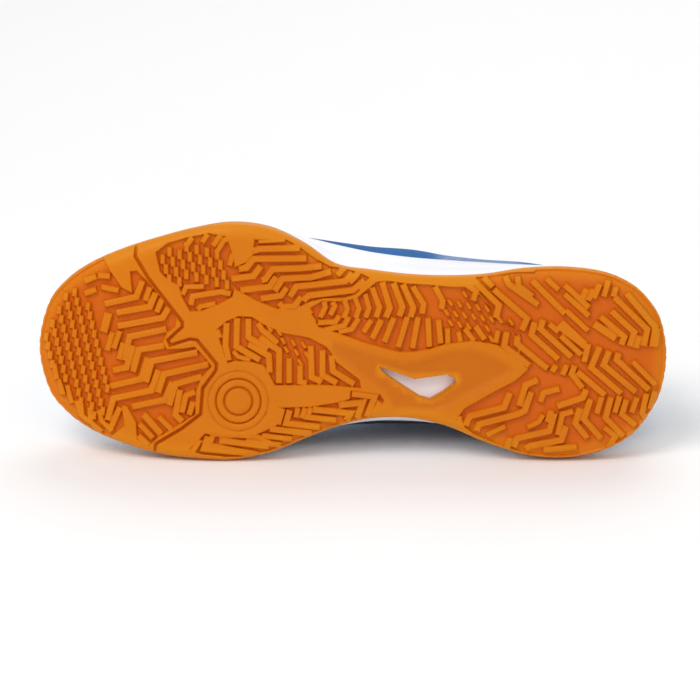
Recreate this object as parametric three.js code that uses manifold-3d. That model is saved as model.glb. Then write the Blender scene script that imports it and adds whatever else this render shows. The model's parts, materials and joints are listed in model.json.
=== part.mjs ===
// Indoor court shoe for the left foot: gum rubber outsole, foam midsole, hollow upper with its
// overlays, tongue, insole and laces. It is drawn standing on its sole, heel at the origin, toe
// along +X, outer side along +Y, and is then laid on its inner side, as it rests when tipped over.
// Millimetres throughout. Tables hold shares of the named sizes, one row for each section of the
// last, from the heel end to the toe end.
import * as THREE from 'three';
import { mergeVertices } from 'three/addons/utils/BufferGeometryUtils.js';
import Module from 'manifold-3d';

const wasm = await Module();
wasm.setup();

// Sole sizes
const SOLE_LENGTH = 292;
const BALL_WIDTH = 110.3;
const WAIST_WIDTH = 67;
const HEEL_WIDTH = 88.7;
const TOE_SPRING = 16;
const TOE_SPRING_START = 0.7;
const HEEL_ROCKER = 3;
const HEEL_ROCKER_END = 0.075;
const OUTSOLE_THICKNESS = 4.6;
const TREAD_DEPTH = 2.2;
const TREAD_INSET = 1.5;
const EDGE_ROUND = 5;
const LIP_HEIGHT = 10;
const LIP_THICKNESS = 2;

// Midsole sizes
const HEEL_STACK = 24;
const FOREFOOT_STACK = 15;
const STACK_FALL_START = 0.22;
const STACK_FALL_END = 0.7;
const TOE_LIFT = 0.85;
const WALL_RISE = 12;
const HEEL_WALL_INSET = 2.5;
const TOE_WALL_INSET = 6;
const WALL_GROOVE = 0.8;

// Upper sizes
const HEEL_TAB_HEIGHT = 90;
const INSTEP_HEIGHT = 91;
const TOE_BOX_HEIGHT = 49;
const COLLAR_WIDTH = 70.5;
const THROAT_WIDTH = 42;
const UPPER_WALL = 2.4;
const COLLAR_PADDING = 6.5;
const LASTING_MARGIN = 9;
const TUCK = 5;

// Trim sizes
const CLEARANCE = 0.3;
const OVERLAY_THICKNESS = 1.1;
const INSOLE_THICKNESS = 4;
const TONGUE_THICKNESS = 4.5;
const TONGUE_RISE = 22;
const TONGUE_GAP = 1.9;
const EYELET_RADIUS = 2;
const EYELET_INSET = 7;
const LACE_WIDTH = 5.5;
const LACE_THICKNESS = 1.5;

// A table has its column names first, then its rows
const asTable = (columns, rows) =>
  rows.map((row) => Object.fromEntries(row.map((value, k) => [columns[k], value])));

// Outlines of the rubber (gum) and of the foam's top edge (wall), as shares of the width in `of`;
// rise is a share of WALL_RISE, lip of LIP_HEIGHT. Outer side positive, inner side negative.
const SOLE = asTable([
  'at', 'of', 'gumOut', 'gumIn', 'wallOut', 'wallIn', 'rise', 'lipOut', 'lipIn',
], [
  [0.000, HEEL_WIDTH, -0.017, -0.017, -0.023, -0.023, 1.25, 1.3, 1.3],
  [0.008, HEEL_WIDTH, 0.156, -0.192, 0.130, -0.175, 1.24, 1.3, 1.3],
  [0.026, HEEL_WIDTH, 0.263, -0.316, 0.225, -0.282, 1.20, 1.3, 1.3],
  [0.055, HEEL_WIDTH, 0.355, -0.430, 0.310, -0.375, 1.12, 1.2, 1.2],
  [0.099, HEEL_WIDTH, 0.420, -0.512, 0.378, -0.445, 1.02, 1.1, 1.1],
  [0.160, HEEL_WIDTH, 0.448, -0.552, 0.417, -0.480, 0.94, 1.0, 1.0],
  [0.225, HEEL_WIDTH, 0.443, -0.536, 0.435, -0.469, 0.90, 0.9, 0.9],
  [0.290, HEEL_WIDTH, 0.413, -0.468, 0.451, -0.440, 0.88, 0.8, 0.8],
  [0.350, WAIST_WIDTH, 0.536, -0.510, 0.616, -0.546, 0.86, 0.8, 0.7],
  [0.410, WAIST_WIDTH, 0.546, -0.454, 0.639, -0.525, 0.85, 0.8, 0.7],
  [0.470, WAIST_WIDTH, 0.578, -0.457, 0.675, -0.522, 0.84, 0.8, 0.7],
  [0.525, WAIST_WIDTH, 0.619, -0.513, 0.725, -0.546, 0.84, 0.9, 0.8],
  [0.575, BALL_WIDTH, 0.462, -0.362, 0.470, -0.355, 0.84, 1.2, 0.9],
  [0.630, BALL_WIDTH, 0.529, -0.420, 0.490, -0.384, 0.84, 1.4, 0.9],
  [0.690, BALL_WIDTH, 0.549, -0.451, 0.497, -0.401, 0.84, 1.4, 0.9],
  [0.750, BALL_WIDTH, 0.526, -0.446, 0.481, -0.399, 0.84, 1.1, 0.9],
  [0.810, BALL_WIDTH, 0.484, -0.426, 0.444, -0.379, 0.84, 0.9, 1.0],
  [0.865, BALL_WIDTH, 0.435, -0.386, 0.397, -0.343, 0.86, 1.0, 1.2],
  [0.915, BALL_WIDTH, 0.374, -0.333, 0.335, -0.290, 0.90, 1.3, 1.5],
  [0.955, BALL_WIDTH, 0.299, -0.261, 0.263, -0.223, 0.95, 1.6, 1.7],
  [0.985, BALL_WIDTH, 0.195, -0.161, 0.168, -0.132, 1.00, 1.8, 1.8],
  [1.000, BALL_WIDTH, 0.015, 0.015, 0.016, 0.016, 1.00, 1.8, 1.8],
]);

// Top edge of the upper: collar, then throat, then the closed ridge of the vamp. topAt is a share of
// SOLE_LENGTH, high of the height in `ofHeight`, edges of the width in `ofWidth`. lean is the slope of
// the upper at that edge, in degrees below level; flare is how far the wall swells out above the
// foam; rise and shoulder are the reach of those two slopes, as shares of the rib.
const UPPER = asTable([
  'topAt', 'high', 'ofHeight', 'edgeOut', 'edgeIn', 'ofWidth',
  'lean', 'flareOut', 'flareIn', 'rise', 'shoulder',
], [
  [0.037, 1.000, HEEL_TAB_HEIGHT, -0.043, -0.043, COLLAR_WIDTH, 92, 0.42, 0.42, 0.34, 0.36],
  [0.039, 0.995, HEEL_TAB_HEIGHT, 0.100, -0.180, COLLAR_WIDTH, 92, 0.42, 0.42, 0.34, 0.36],
  [0.047, 0.980, HEEL_TAB_HEIGHT, 0.215, -0.292, COLLAR_WIDTH, 92, 0.42, 0.42, 0.34, 0.36],
  [0.068, 0.945, HEEL_TAB_HEIGHT, 0.315, -0.398, COLLAR_WIDTH, 91, 0.44, 0.44, 0.34, 0.36],
  [0.109, 0.885, HEEL_TAB_HEIGHT, 0.400, -0.482, COLLAR_WIDTH, 90, 0.46, 0.46, 0.34, 0.36],
  [0.168, 0.822, HEEL_TAB_HEIGHT, 0.450, -0.530, COLLAR_WIDTH, 88, 0.48, 0.48, 0.37, 0.36],
  [0.230, 0.790, HEEL_TAB_HEIGHT, 0.462, -0.538, COLLAR_WIDTH, 86, 0.46, 0.48, 0.42, 0.36],
  [0.292, 0.805, HEEL_TAB_HEIGHT, 0.438, -0.495, COLLAR_WIDTH, 82, 0.42, 0.46, 0.48, 0.36],
  [0.348, 0.892, INSTEP_HEIGHT, 0.630, -0.690, THROAT_WIDTH, 74, 0.38, 0.44, 0.54, 0.36],
  [0.400, 1.000, INSTEP_HEIGHT, 0.488, -0.512, THROAT_WIDTH, 60, 0.38, 0.44, 0.56, 0.38],
  [0.459, 0.965, INSTEP_HEIGHT, 0.430, -0.420, THROAT_WIDTH, 48, 0.38, 0.44, 0.55, 0.40],
  [0.514, 0.896, INSTEP_HEIGHT, 0.385, -0.345, THROAT_WIDTH, 41, 0.39, 0.43, 0.52, 0.43],
  [0.563, 0.830, INSTEP_HEIGHT, 0.350, -0.285, THROAT_WIDTH, 35, 0.39, 0.41, 0.49, 0.46],
  [0.616, 0.757, INSTEP_HEIGHT, 0.305, -0.225, THROAT_WIDTH, 28, 0.40, 0.40, 0.47, 0.50],
  [0.668, 0.690, INSTEP_HEIGHT, 0.238, -0.143, THROAT_WIDTH, 20, 0.40, 0.40, 0.46, 0.54],
  [0.696, 1.225, TOE_BOX_HEIGHT, 0.048, 0.048, THROAT_WIDTH, 6, 0.40, 0.40, 0.46, 0.58],
  [0.750, 1.140, TOE_BOX_HEIGHT, 0.048, 0.048, THROAT_WIDTH, 5, 0.42, 0.42, 0.48, 0.58],
  [0.802, 1.085, TOE_BOX_HEIGHT, 0.043, 0.043, THROAT_WIDTH, 5, 0.44, 0.44, 0.50, 0.56],
  [0.842, 1.050, TOE_BOX_HEIGHT, 0.040, 0.040, THROAT_WIDTH, 7, 0.46, 0.46, 0.50, 0.56],
  [0.868, 1.025, TOE_BOX_HEIGHT, 0.038, 0.038, THROAT_WIDTH, 10, 0.46, 0.46, 0.50, 0.56],
  [0.881, 1.008, TOE_BOX_HEIGHT, 0.038, 0.038, THROAT_WIDTH, 13, 0.46, 0.46, 0.50, 0.56],
  [0.886, 1.000, TOE_BOX_HEIGHT, 0.038, 0.038, THROAT_WIDTH, 14, 0.46, 0.46, 0.50, 0.56],
]);

// Section numbers that the pieces refer to
const LAST_ROW = SOLE.length - 1;
const RING = 2 * LAST_ROW;
const THROAT_TOP = 9;
const RIDGE_START = 15;

const smooth = (low, high, x) => THREE.MathUtils.smoothstep(x, low, high);
const mix = THREE.MathUtils.lerp;

// The ring runs from the heel (0) along the outer side to the toe (LAST_ROW) and back along the
// inner side. Its values are joined by a periodic Catmull-Rom curve.
function ringValues(rows, pick) {
  return Array.from({ length: RING }, (_, k) =>
    k <= LAST_ROW ? pick(rows[k], 'Out', k) : pick(rows[RING - k], 'In', RING - k));
}

function onRing(values, x) {
  const cell = Math.floor(x);
  const f = x - cell;
  const [a, b, c, d] = [-1, 0, 1, 2].map((step) => values[(((cell + step) % RING) + RING) % RING]);
  return 0.5 * (2 * b + (c - a) * f + (2 * a - 5 * b + 4 * c - d) * f * f
    + (3 * b - a - 3 * c + d) * f * f * f);
}

const soleRing = (pick) => ringValues(SOLE, pick);
const upperRing = (pick) => ringValues(UPPER, pick);
const WALL_SPAN = SOLE_LENGTH - HEEL_WALL_INSET - TOE_WALL_INSET;
const GUM_X = soleRing((row) => row.at * SOLE_LENGTH);
const GUM_Y = soleRing((row, side) => row[`gum${side}`] * row.of);
const WALL_X = soleRing((row) => HEEL_WALL_INSET + row.at * WALL_SPAN);
const WALL_Y = soleRing((row, side) => row[`wall${side}`] * row.of);
const WALL_UP = soleRing((row) => row.rise * WALL_RISE);
const LIP_UP = soleRing((row, side) => row[`lip${side}`] * LIP_HEIGHT);
const TOP_X = upperRing((row) => row.topAt * SOLE_LENGTH);
const TOP_Y = upperRing((row, side) => row[`edge${side}`] * row.ofWidth);
const TOP_Z = upperRing((row) => row.high * row.ofHeight);
const LEAN = upperRing((row) => THREE.MathUtils.degToRad(row.lean));
const FLARE = upperRing((row, side) => row[`flare${side}`]);
const RISE = upperRing((row) => row.rise);
const SHOULDER = upperRing((row) => row.shoulder);

// Height of the ground side of the sole, and of the footbed inside the shoe
function groundAt(x) {
  const toe = Math.max(0, (x / SOLE_LENGTH - TOE_SPRING_START) / (1 - TOE_SPRING_START));
  const heel = Math.max(0, 1 - x / SOLE_LENGTH / HEEL_ROCKER_END);
  return TOE_SPRING * toe * toe + HEEL_ROCKER * heel * heel;
}

function footbedAt(x) {
  const share = x / SOLE_LENGTH;
  const stack = mix(HEEL_STACK, FOREFOOT_STACK, smooth(STACK_FALL_START, STACK_FALL_END, share));
  return stack + TOE_LIFT * groundAt(share > 0.5 ? x : SOLE_LENGTH / 2);
}

// A plan curve of the ring moved inwards by `inset`, at ring position u
function planPoint(xs, ys, u, inset) {
  const step = 0.05;
  const at = (x) => new THREE.Vector2(onRing(xs, x), onRing(ys, x));
  const along = at(u + step).sub(at(u - step)).normalize();
  return at(u).add(new THREE.Vector2(along.y, -along.x).multiplyScalar(inset));
}

const rowOf = (u) => LAST_ROW - Math.abs(THREE.MathUtils.euclideanModulo(u, RING) - LAST_ROW);
const onRidge = (u) => rowOf(u) >= RIDGE_START;

// Upper surface
function ribEnds(u) {
  const foot = planPoint(WALL_X, WALL_Y, u, TUCK);
  const out = planPoint(WALL_X, WALL_Y, u, TUCK - 1).sub(foot);
  const low = new THREE.Vector3(foot.x, foot.y, footbedAt(foot.x));
  const edge = (x) => new THREE.Vector3(onRing(TOP_X, x), onRing(TOP_Y, x), onRing(TOP_Z, x));
  const high = onRidge(u) ? edge(u).add(edge(RING - u)).multiplyScalar(0.5) : edge(u);
  return { low, high, out };
}

function upperBase(u, v) {
  const { low, high, out } = ribEnds(u);
  const reach = low.distanceTo(high);
  const flare = onRing(FLARE, u);
  const lean = onRing(LEAN, u);
  const lift = reach * onRing(RISE, u);
  const bend = reach * onRing(SHOULDER, u);
  const lowHandle = new THREE.Vector3(out.x * flare, out.y * flare, 1).multiplyScalar(lift).add(low);
  const spread = Math.cos(lean);
  const inward = new THREE.Vector3(out.x * spread, out.y * spread, -Math.sin(lean));
  const highHandle = inward.multiplyScalar(bend).add(high);
  const w = 1 - v;
  return low.multiplyScalar(w * w * w)
    .addScaledVector(lowHandle, 3 * w * w * v)
    .addScaledVector(highHandle, 3 * w * v * v)
    .addScaledVector(high, v * v * v);
}

function upperNormal(u, v) {
  const step = 0.02;
  const low = Math.max(0, v - step);
  const high = Math.min(1, v + step);
  const alongRing = upperBase(u + step, v).sub(upperBase(u - step, v));
  const alongRib = upperBase(u, high).sub(upperBase(u, low));
  return alongRib.cross(alongRing).normalize();
}

function upperPoint(u, v, off) {
  const normal = upperNormal(u, v);
  if (v > 0.999 && onRidge(u)) normal.add(upperNormal(RING - u, v)).normalize();
  return upperBase(u, v).addScaledVector(normal, off);
}

// How thick the upper is: padded round the collar, thin elsewhere
function wallThickness(u, v) {
  const round = 1 - smooth(THROAT_TOP - 2, THROAT_TOP + 1, rowOf(u));
  return UPPER_WALL + COLLAR_PADDING * round * smooth(0.5, 0.82, v) * (1 - 0.45 * smooth(0.9, 1, v));
}

// Share of a rib at which the upper reaches height z
function ribShareAt(u, z) {
  let low = 0;
  let high = 1;
  for (let pass = 0; pass < 24; pass += 1) {
    const middle = (low + high) / 2;
    if (upperBase(u, middle).z < z) low = middle; else high = middle;
  }
  return low;
}

// Closed meshes from loops of points
const RING_STEPS = 60;
const ringPositions = Array.from({ length: RING_STEPS }, (_, i) => (i * RING) / RING_STEPS);

function geometryOf(points, triangles) {
  const geometry = new THREE.BufferGeometry();
  const places = points.flatMap((p) => [p.x, p.y, p.z]);
  geometry.setAttribute('position', new THREE.Float32BufferAttribute(places, 3));
  geometry.setIndex(triangles.flat());
  return geometry;
}

// Stacks loops of equal length; each end is closed by rungs that pair the outer and inner sides
function stackLoops(loops) {
  const count = loops[0].length;
  const triangles = [];
  for (let ring = 0; ring + 1 < loops.length; ring += 1) {
    for (let i = 0; i < count; i += 1) {
      const a = ring * count + i;
      const b = ring * count + ((i + 1) % count);
      triangles.push([a, b, b + count], [a, b + count, a + count]);
    }
  }
  const rungs = (base, flip) => {
    for (let i = 0; i < count / 2; i += 1) {
      const a = base + i;
      const b = base + i + 1;
      const c = base + ((count - i - 1) % count);
      const d = base + ((count - i) % count);
      for (const t of [[a, b, c], [a, c, d]]) {
        if (new Set(t).size === 3) triangles.push(flip ? [t[0], t[2], t[1]] : t);
      }
    }
  };
  rungs(0, true);
  rungs((loops.length - 1) * count, false);
  return geometryOf(loops.flat(), triangles);
}

function solidOf(geometry) {
  const bare = geometry.index ? geometry.toNonIndexed() : geometry.clone();
  bare.deleteAttribute('normal');
  bare.deleteAttribute('uv');
  const merged = mergeVertices(bare, 1e-4);
  const triVerts = Uint32Array.from(merged.index.array);
  const vertProperties = merged.attributes.position.array;
  const make = () => new wasm.Manifold(new wasm.Mesh({ numProp: 3, vertProperties, triVerts }));
  const solid = make();
  if (solid.volume() > 0) return solid;
  for (let i = 0; i < triVerts.length; i += 3) {
    [triVerts[i + 1], triVerts[i + 2]] = [triVerts[i + 2], triVerts[i + 1]];
  }
  return make();
}

function geometryFrom(solid) {
  const { vertProperties, triVerts } = solid.getMesh();
  const geometry = new THREE.BufferGeometry();
  geometry.setAttribute('position', new THREE.Float32BufferAttribute(vertProperties, 3));
  geometry.setIndex(Array.from(triVerts));
  return geometry;
}

function prism(outline, low, high) {
  const shape = new THREE.Shape(outline.map(([x, y]) => new THREE.Vector2(x, y)));
  const geometry = new THREE.ExtrudeGeometry(shape, { depth: high - low, bevelEnabled: false });
  return solidOf(geometry.translate(0, 0, low));
}

function pin(radius, low, high, sides) {
  const geometry = new THREE.CylinderGeometry(radius, radius, high - low, sides, 1, false, Math.PI / 2);
  return solidOf(geometry.rotateX(Math.PI / 2).translate(0, 0, (low + high) / 2));
}

// Outsole
const gumLoop = (inset, rise) => ringPositions.map((u) => {
  const p = planPoint(GUM_X, GUM_Y, u, inset);
  return new THREE.Vector3(p.x, p.y, groundAt(p.x) + rise(u));
});

// The tread is charted on squares, TREAD_SQUARES of them along the sole: [along, across]
const TREAD_SQUARES = 292;
const SQUARE = SOLE_LENGTH / TREAD_SQUARES;
const LUG_WIDTH = 2.5;
const SHANK_DEPTH = 1.2;
const FLEX_GROOVE_WIDTH = 1.7;

const WINDOW = [
  [133.5, -6], [125, -8.8], [117, -11.8], [110, -10.8], [102, -9.6], [98.8, -11.2],
  [98, -13], [104, -17.5], [110, -21], [115, -19.5], [123, -14.4], [131, -9],
];

const TREAD_ZONES = {
  toe: [
    [287.6, 3], [286, 13], [280.5, 24], [272, 32], [262, 38], [257.5, 37.6], [252.4, 30.4], [247.6, 28],
    [248.6, 38], [245.4, 38.4], [238.6, 31.6], [230.4, 21.4], [227, 17.6], [227.6, 12.4], [231.4, 9.6],
    [233.4, 5.6], [231.6, 2], [224.6, 2.4], [218.6, 3.4], [212.6, -3], [210.8, -6], [215.4, -11],
    [218, -17], [218.4, -28.4], [227.4, -34], [236, -39.4], [240, -43.4], [245.8, -40.6], [246.4, -32],
    [250.4, -25], [252.8, -24.6], [251.6, -34], [258.6, -38], [271, -33], [281, -25], [286.4, -10],
  ],
  outerStuds: [
    [236.6, 47], [234.6, 38], [231.4, 34.4], [226, 31.6], [224.6, 26.4], [220.8, 19.6], [215.6, 19.8],
    [208, 22.6], [201, 26.4], [199.6, 33], [200.2, 44], [203.6, 54.4], [212, 56], [222, 54], [231, 51.4],
  ],
  outerBars: [
    [203, 35.6], [199, 29.4], [190, 24.6], [180.6, 20.8], [172, 20.6], [165.6, 24], [159, 25.6],
    [149.6, 25.8], [144.6, 27.4], [136, 34.6], [141, 37], [148, 39.4], [156, 40.6], [163, 44.4],
    [170, 49.6], [176, 53], [191, 53], [191.6, 46], [195, 42.4], [199.6, 40.6],
  ],
  ribs: [
    [166, 21], [161.6, 12.4], [150, 8.6], [140, 5], [130, 2.2], [124, 0.6], [117, 0.8], [110, 2],
    [103, 4.2], [90, 5.8], [79, 4], [69, -2.6], [69, 9], [77, 16], [90, 31], [100, 31], [110, 32],
    [120, 32.6], [130, 34], [134.6, 33.4], [143.6, 26], [149, 24.6], [160, 24.4],
  ],
  middle: [
    [208.6, 11.4], [204, 15.2], [198.6, 17.6], [192, 17.2], [186.6, 13.6], [178, 9.8], [166, 7.6],
    [158, 3.4], [155.4, 0.4], [153, -4], [142.6, -12], [141.6, -16.2], [152, -15.2], [160, -14.6],
    [181.6, -14.8], [184.4, -9.6], [187, -5.4], [192, -4], [200, -3.4], [203.6, -4.4], [206.8, 5],
  ],
  innerBars: [
    [146.8, -17], [133, -19], [131, -22], [137, -30.4], [150, -32.6], [160, -36.2], [170, -40.6],
    [178, -43.6], [190, -37.4], [181, -33.4], [179.6, -25], [165, -24.6], [152.8, -22.6], [147, -21],
  ],
  innerEdge: [
    [214, -37], [222, -45], [212, -48.4], [196, -48.2], [184, -45.4], [178.8, -43.9], [190, -39.6],
    [208, -38.6],
  ],
  heel: [
    [68.6, -2.9], [68.6, 8.8], [77, 15.6], [89.6, 31], [89, 35], [75, 36.8], [60, 36], [45, 36.4],
    [30, 34.6], [20, 31], [11, 23.6], [5, 14], [3.4, 3], [3.6, -12], [7.4, -24], [14, -34.6],
    [24, -42.6], [38, -46], [52, -46.6], [66, -45.6], [78, -42], [90, -36.6], [98, -31], [94, -25.6],
    [80, -17.6], [70.4, -12.6], [64.6, -7.4],
  ],
};

const SHANK = [
  [155, 7], [150, 6], [140, 2.4], [130, -1], [123, -2.8], [115, -2], [105, 1.6], [97, 3.4], [90, 3.2],
  [82, 0.6], [75, -3], [69.6, -6.6], [71, -9.6], [80, -14.6], [90, -20], [100, -25.4], [108, -28.4],
  [128, -28.4], [128.6, -24], [131, -19.4], [138, -14], [148, -7], [153.6, -2.4], [156.4, 1.6],
];

const FLEX_GROOVE = [
  [245.6, 51], [246, 45], [240, 35], [230, 22], [224.4, 14.8], [224.2, 12.6], [231, 6.4], [230, 3.9],
  [221, 6.8], [217.6, 6.4], [208.6, -4.6], [208.8, -7.6], [215, -16], [216, -28], [225, -35], [237, -42.2],
  [238, -49],
];

const PIVOT = { at: [198.6, -22], grooves: [[5.5, 7.2], [10, 11.3]], depth: 0.6 };

const MAIN_LUGS = [
  [[260.5, 22.6], [245.6, 26.2], [242.8, 33.6]],
  [[255, 18.6], [239.4, 21.6], [236.8, 28]],
  [[254.6, 12.4], [233.4, 16.6], [230.6, 21.4]],
  [[251.4, -3.4], [249, 7.6], [231.8, 11.4]],
  [[257, -8.2], [250.4, -6.8], [247.4, 3.4]],
  [[233, 3.6], [244.6, 1.6], [247.4, -8.6]],
  [[258, -15.6], [243.6, -12], [240.6, -2]],
  [[217.5, 0.6], [238.6, -3.6], [241.4, -13.4]],
  [[259.6, -31.6], [256.8, -21.4], [239, -17.4], [235.6, -7.8]],
  [[212.5, -4.8], [233, -9.6], [235.8, -18.2]],
  [[248, -25], [232.6, -21.6], [229.2, -13.4]],
  [[215.5, -10.6], [227.6, -14.2], [230.6, -24]],
  [[225.6, -17], [227.8, -28.6], [224.6, -31.6]],
  [[198, 39.4], [194.6, 39.8], [191.4, 44], [167, 44.2]],
  [[191.4, 47.6], [188.6, 48.6], [170, 49]],
  [[201.6, 34.8], [191.4, 36], [188, 40.6]],
  [[187.6, 34], [185.8, 34.6], [182.6, 39.2], [170, 39.6], [160, 40.6]],
  [[197.4, 29.6], [184, 31], [181, 35.6]],
  [[181.6, 29.2], [178, 34.8], [165, 35.4], [155.6, 38]],
  [[174.6, 26.6], [171.6, 31.2], [165, 31.8], [149, 33.6], [145.6, 37]],
  [[168.4, 24.6], [166, 27], [145.6, 29.4], [140, 34]],
  [[132, 33.2], [128.4, 21.4], [130.2, 16.8]],
  [[126.8, 32.6], [122.6, 21.8], [124, 17.4]],
  [[122.4, 32], [117.6, 21.6], [118.8, 17]],
  [[203.8, 14.2], [204.4, 4], [203, -3]],
  [[199, 16.4], [199.4, 3.4], [188.6, -2.8]],
  [[193.8, 16.2], [193.8, 7.8], [185, 2.2]],
  [[193.8, 4.4], [184.4, -1], [184, -8.6]],
  [[188.4, 7.6], [179.6, 1.4], [179.8, -13.6]],
  [[165, 3.6], [164.6, -11], [160, -13.2]],
  [[159.6, 1.6], [159.6, -10], [153, -13.6]],
  [[155.4, -1], [154.8, -8], [145, -14.2]],
  [[146, -18.6], [135.4, -20], [139, -29.2]],
  [[152, -24], [141, -22.8], [143.6, -30]],
  [[164, -26], [146.6, -27.8], [148.6, -31]],
  [[174.8, -26.4], [176.6, -32.4], [161, -34.2]],
  [[184, -35], [165, -37.2]],
  [[212.8, -38.6], [214.6, -44.2], [192, -46.6]],
  [[207.4, -40.4], [184.6, -43.2]],
  [[90, 34], [78, 22.4], [79.4, 16.6]],
  [[80.4, 29.6], [65, 16.2], [67.4, 10.8]],
  [[75, 35.6], [73.6, 32.2], [60, 22.6]],
  [[62.6, 33.6], [47.6, 18.6]],
  [[74.4, 10], [75.6, 3.4], [64, -5.6]],
  [[69.4, 8], [69.8, 4.6], [55.6, -7]],
  [[61.6, 14.4], [63, 8.6], [50.6, -2.6]],
  [[57.6, 15.6], [59, 11.6], [44.6, -1.6]],
  [[50.6, 13], [38, 3]],
  [[31.4, 3], [35.4, -6.6], [21.4, -18.6]],
  [[27, 1], [29.6, -5.4], [14.6, -18]],
  [[22.6, 0], [23.6, -3], [8.6, -17]],
  [[41.6, -8.6], [29, -19.4]],
  [[24.6, 26], [9.4, 11], [11, 3.4]],
  [[26, 19.6], [15.4, 9.8], [17.6, 3.4]],
  [[31, 17], [20, 7.6], [21.4, 4]],
  [[19, 27.6], [5.6, 12], [7, 3]],
  [[93.4, -33.6], [91.4, -29.2], [75.6, -25.2], [72.8, -18.4]],
  [[88.2, -36], [87.2, -33], [69.4, -28.4], [66, -26.8], [63, -18]],
  [[68.6, -24.4], [65.6, -14.6], [60, -12.4]],
  [[71, -43.6], [69.4, -39.6], [54.6, -36.2], [52.2, -28]],
  [[65.6, -44.4], [63, -43], [49, -40.4], [46.8, -34]],
  [[51, -24.6], [39, -20.6], [37.6, -16.8]],
  [[40.4, -25.6], [42.6, -32.6], [37, -39.4]],
  [[35.6, -21.4], [38.6, -30.6], [30.6, -39.6]],
  [[26, -20.4], [28.6, -30], [20.4, -38.6]],
];

const onSole = ([along, across]) => [along * SQUARE, across * SQUARE];

// Outline of a bar of the given width along a path, with mitred bends
function barOutline(path, width) {
  const points = path.map((p) => new THREE.Vector2(...onSole(p)));
  const edge = (side) => points.map((p, i) => {
    const before = (i > 0 ? p.clone().sub(points[i - 1]) : points[1].clone().sub(p)).normalize();
    const after = (i + 1 < points.length ? points[i + 1].clone().sub(p) : before.clone()).normalize();
    const middle = before.add(after).normalize();
    const mitre = Math.min(2, 1 / Math.max(0.3, middle.dot(after)));
    return [p.x - middle.y * side * mitre * width / 2, p.y + middle.x * side * mitre * width / 2];
  });
  return [...edge(1), ...edge(-1).reverse()];
}

// How far the cutters reach beyond the sole, up and down
const CUTTER_REACH = 40;
const DISC_SIDES = 16;

// Everything within `depth` of the ground side
function groundSlab(depth) {
  return solidOf(stackLoops([
    gumLoop(TREAD_INSET, () => 0).map((p) => p.setZ(-CUTTER_REACH / 2)),
    gumLoop(TREAD_INSET, () => depth),
  ]));
}

function treadCutter() {
  const bars = MAIN_LUGS.map((path) =>
    prism(barOutline(path, LUG_WIDTH), -CUTTER_REACH - 1, CUTTER_REACH + 1));
  const zones = Object.values(TREAD_ZONES).map((outline) =>
    prism(outline.map(onSole), -CUTTER_REACH, CUTTER_REACH));
  const pockets = wasm.Manifold.union(zones).subtract(wasm.Manifold.union(bars));
  const flex = prism(barOutline(FLEX_GROOVE, FLEX_GROOVE_WIDTH), -CUTTER_REACH, CUTTER_REACH);
  const shank = prism(SHANK.map(onSole), -CUTTER_REACH, SHANK_DEPTH);
  const disc = (radius, low, high) => pin(radius * SQUARE, low, high, DISC_SIDES);
  const rings = PIVOT.grooves.map(([inner, outer]) =>
    disc(outer, -CUTTER_REACH, PIVOT.depth * TREAD_DEPTH)
      .subtract(disc(inner, -CUTTER_REACH - 1, TREAD_DEPTH))
      .translate([...onSole(PIVOT.at), 0]));
  return wasm.Manifold.union([pockets, flex]).intersect(groundSlab(TREAD_DEPTH))
    .add(wasm.Manifold.union([shank, ...rings]));
}

function outsoleSolid() {
  const lip = (u) => onRing(LIP_UP, u);
  const shell = solidOf(stackLoops([
    gumLoop(EDGE_ROUND, () => 0),
    gumLoop(EDGE_ROUND * (1 - Math.SQRT1_2), () => EDGE_ROUND * (1 - Math.SQRT1_2)),
    gumLoop(0, () => EDGE_ROUND),
    gumLoop(CLEARANCE, lip),
    gumLoop(LIP_THICKNESS, lip),
    gumLoop(LIP_THICKNESS + 1, () => OUTSOLE_THICKNESS),
  ]));
  return shell.subtract(prism(WINDOW.map(onSole), -1, OUTSOLE_THICKNESS + 1)).subtract(treadCutter());
}

// Midsole
function midsoleSolid() {
  const lip = (u) => onRing(LIP_UP, u) + CLEARANCE;
  const wallTop = (u) => {
    const p = planPoint(WALL_X, WALL_Y, u, 0);
    return new THREE.Vector3(p.x, p.y, footbedAt(p.x) + onRing(WALL_UP, u));
  };
  const ledge = (u, inset) => {
    const p = planPoint(GUM_X, GUM_Y, u, inset);
    return new THREE.Vector3(p.x, p.y, groundAt(p.x) + lip(u));
  };
  const wallAt = (u, share, inset) => {
    const low = ledge(u, 2 * CLEARANCE);
    const high = wallTop(u);
    const p = low.clone().lerp(high, share);
    const centre = planPoint(WALL_X, WALL_Y, u, inset).sub(planPoint(WALL_X, WALL_Y, u, 0));
    return p.add(new THREE.Vector3(centre.x, centre.y, 0));
  };
  const cavity = (u, part) => upperPoint(u, part * ribShareAt(u, wallTop(u).z), 1.5 * CLEARANCE);
  const foot = (u, inset) => {
    const { low } = ribEnds(u);
    const p = planPoint(WALL_X, WALL_Y, u, TUCK + inset);
    return new THREE.Vector3(p.x, p.y, low.z - CLEARANCE);
  };
  return solidOf(stackLoops([
    gumLoop(LIP_THICKNESS + 1 + CLEARANCE, () => OUTSOLE_THICKNESS + CLEARANCE),
    ringPositions.map((u) => ledge(u, LIP_THICKNESS + CLEARANCE)),
    ringPositions.map((u) => ledge(u, 2 * CLEARANCE)),
    ringPositions.map((u) => wallAt(u, 0.42, 0)),
    ringPositions.map((u) => wallAt(u, 0.5, WALL_GROOVE)),
    ringPositions.map((u) => wallAt(u, 0.58, 0)),
    ringPositions.map((u) => wallTop(u)),
    ringPositions.map((u) => cavity(u, 1)),
    ringPositions.map((u) => cavity(u, 0.6)),
    ringPositions.map((u) => cavity(u, 0.25)),
    ringPositions.map((u) => foot(u, -CLEARANCE)),
  ]));
}

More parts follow.
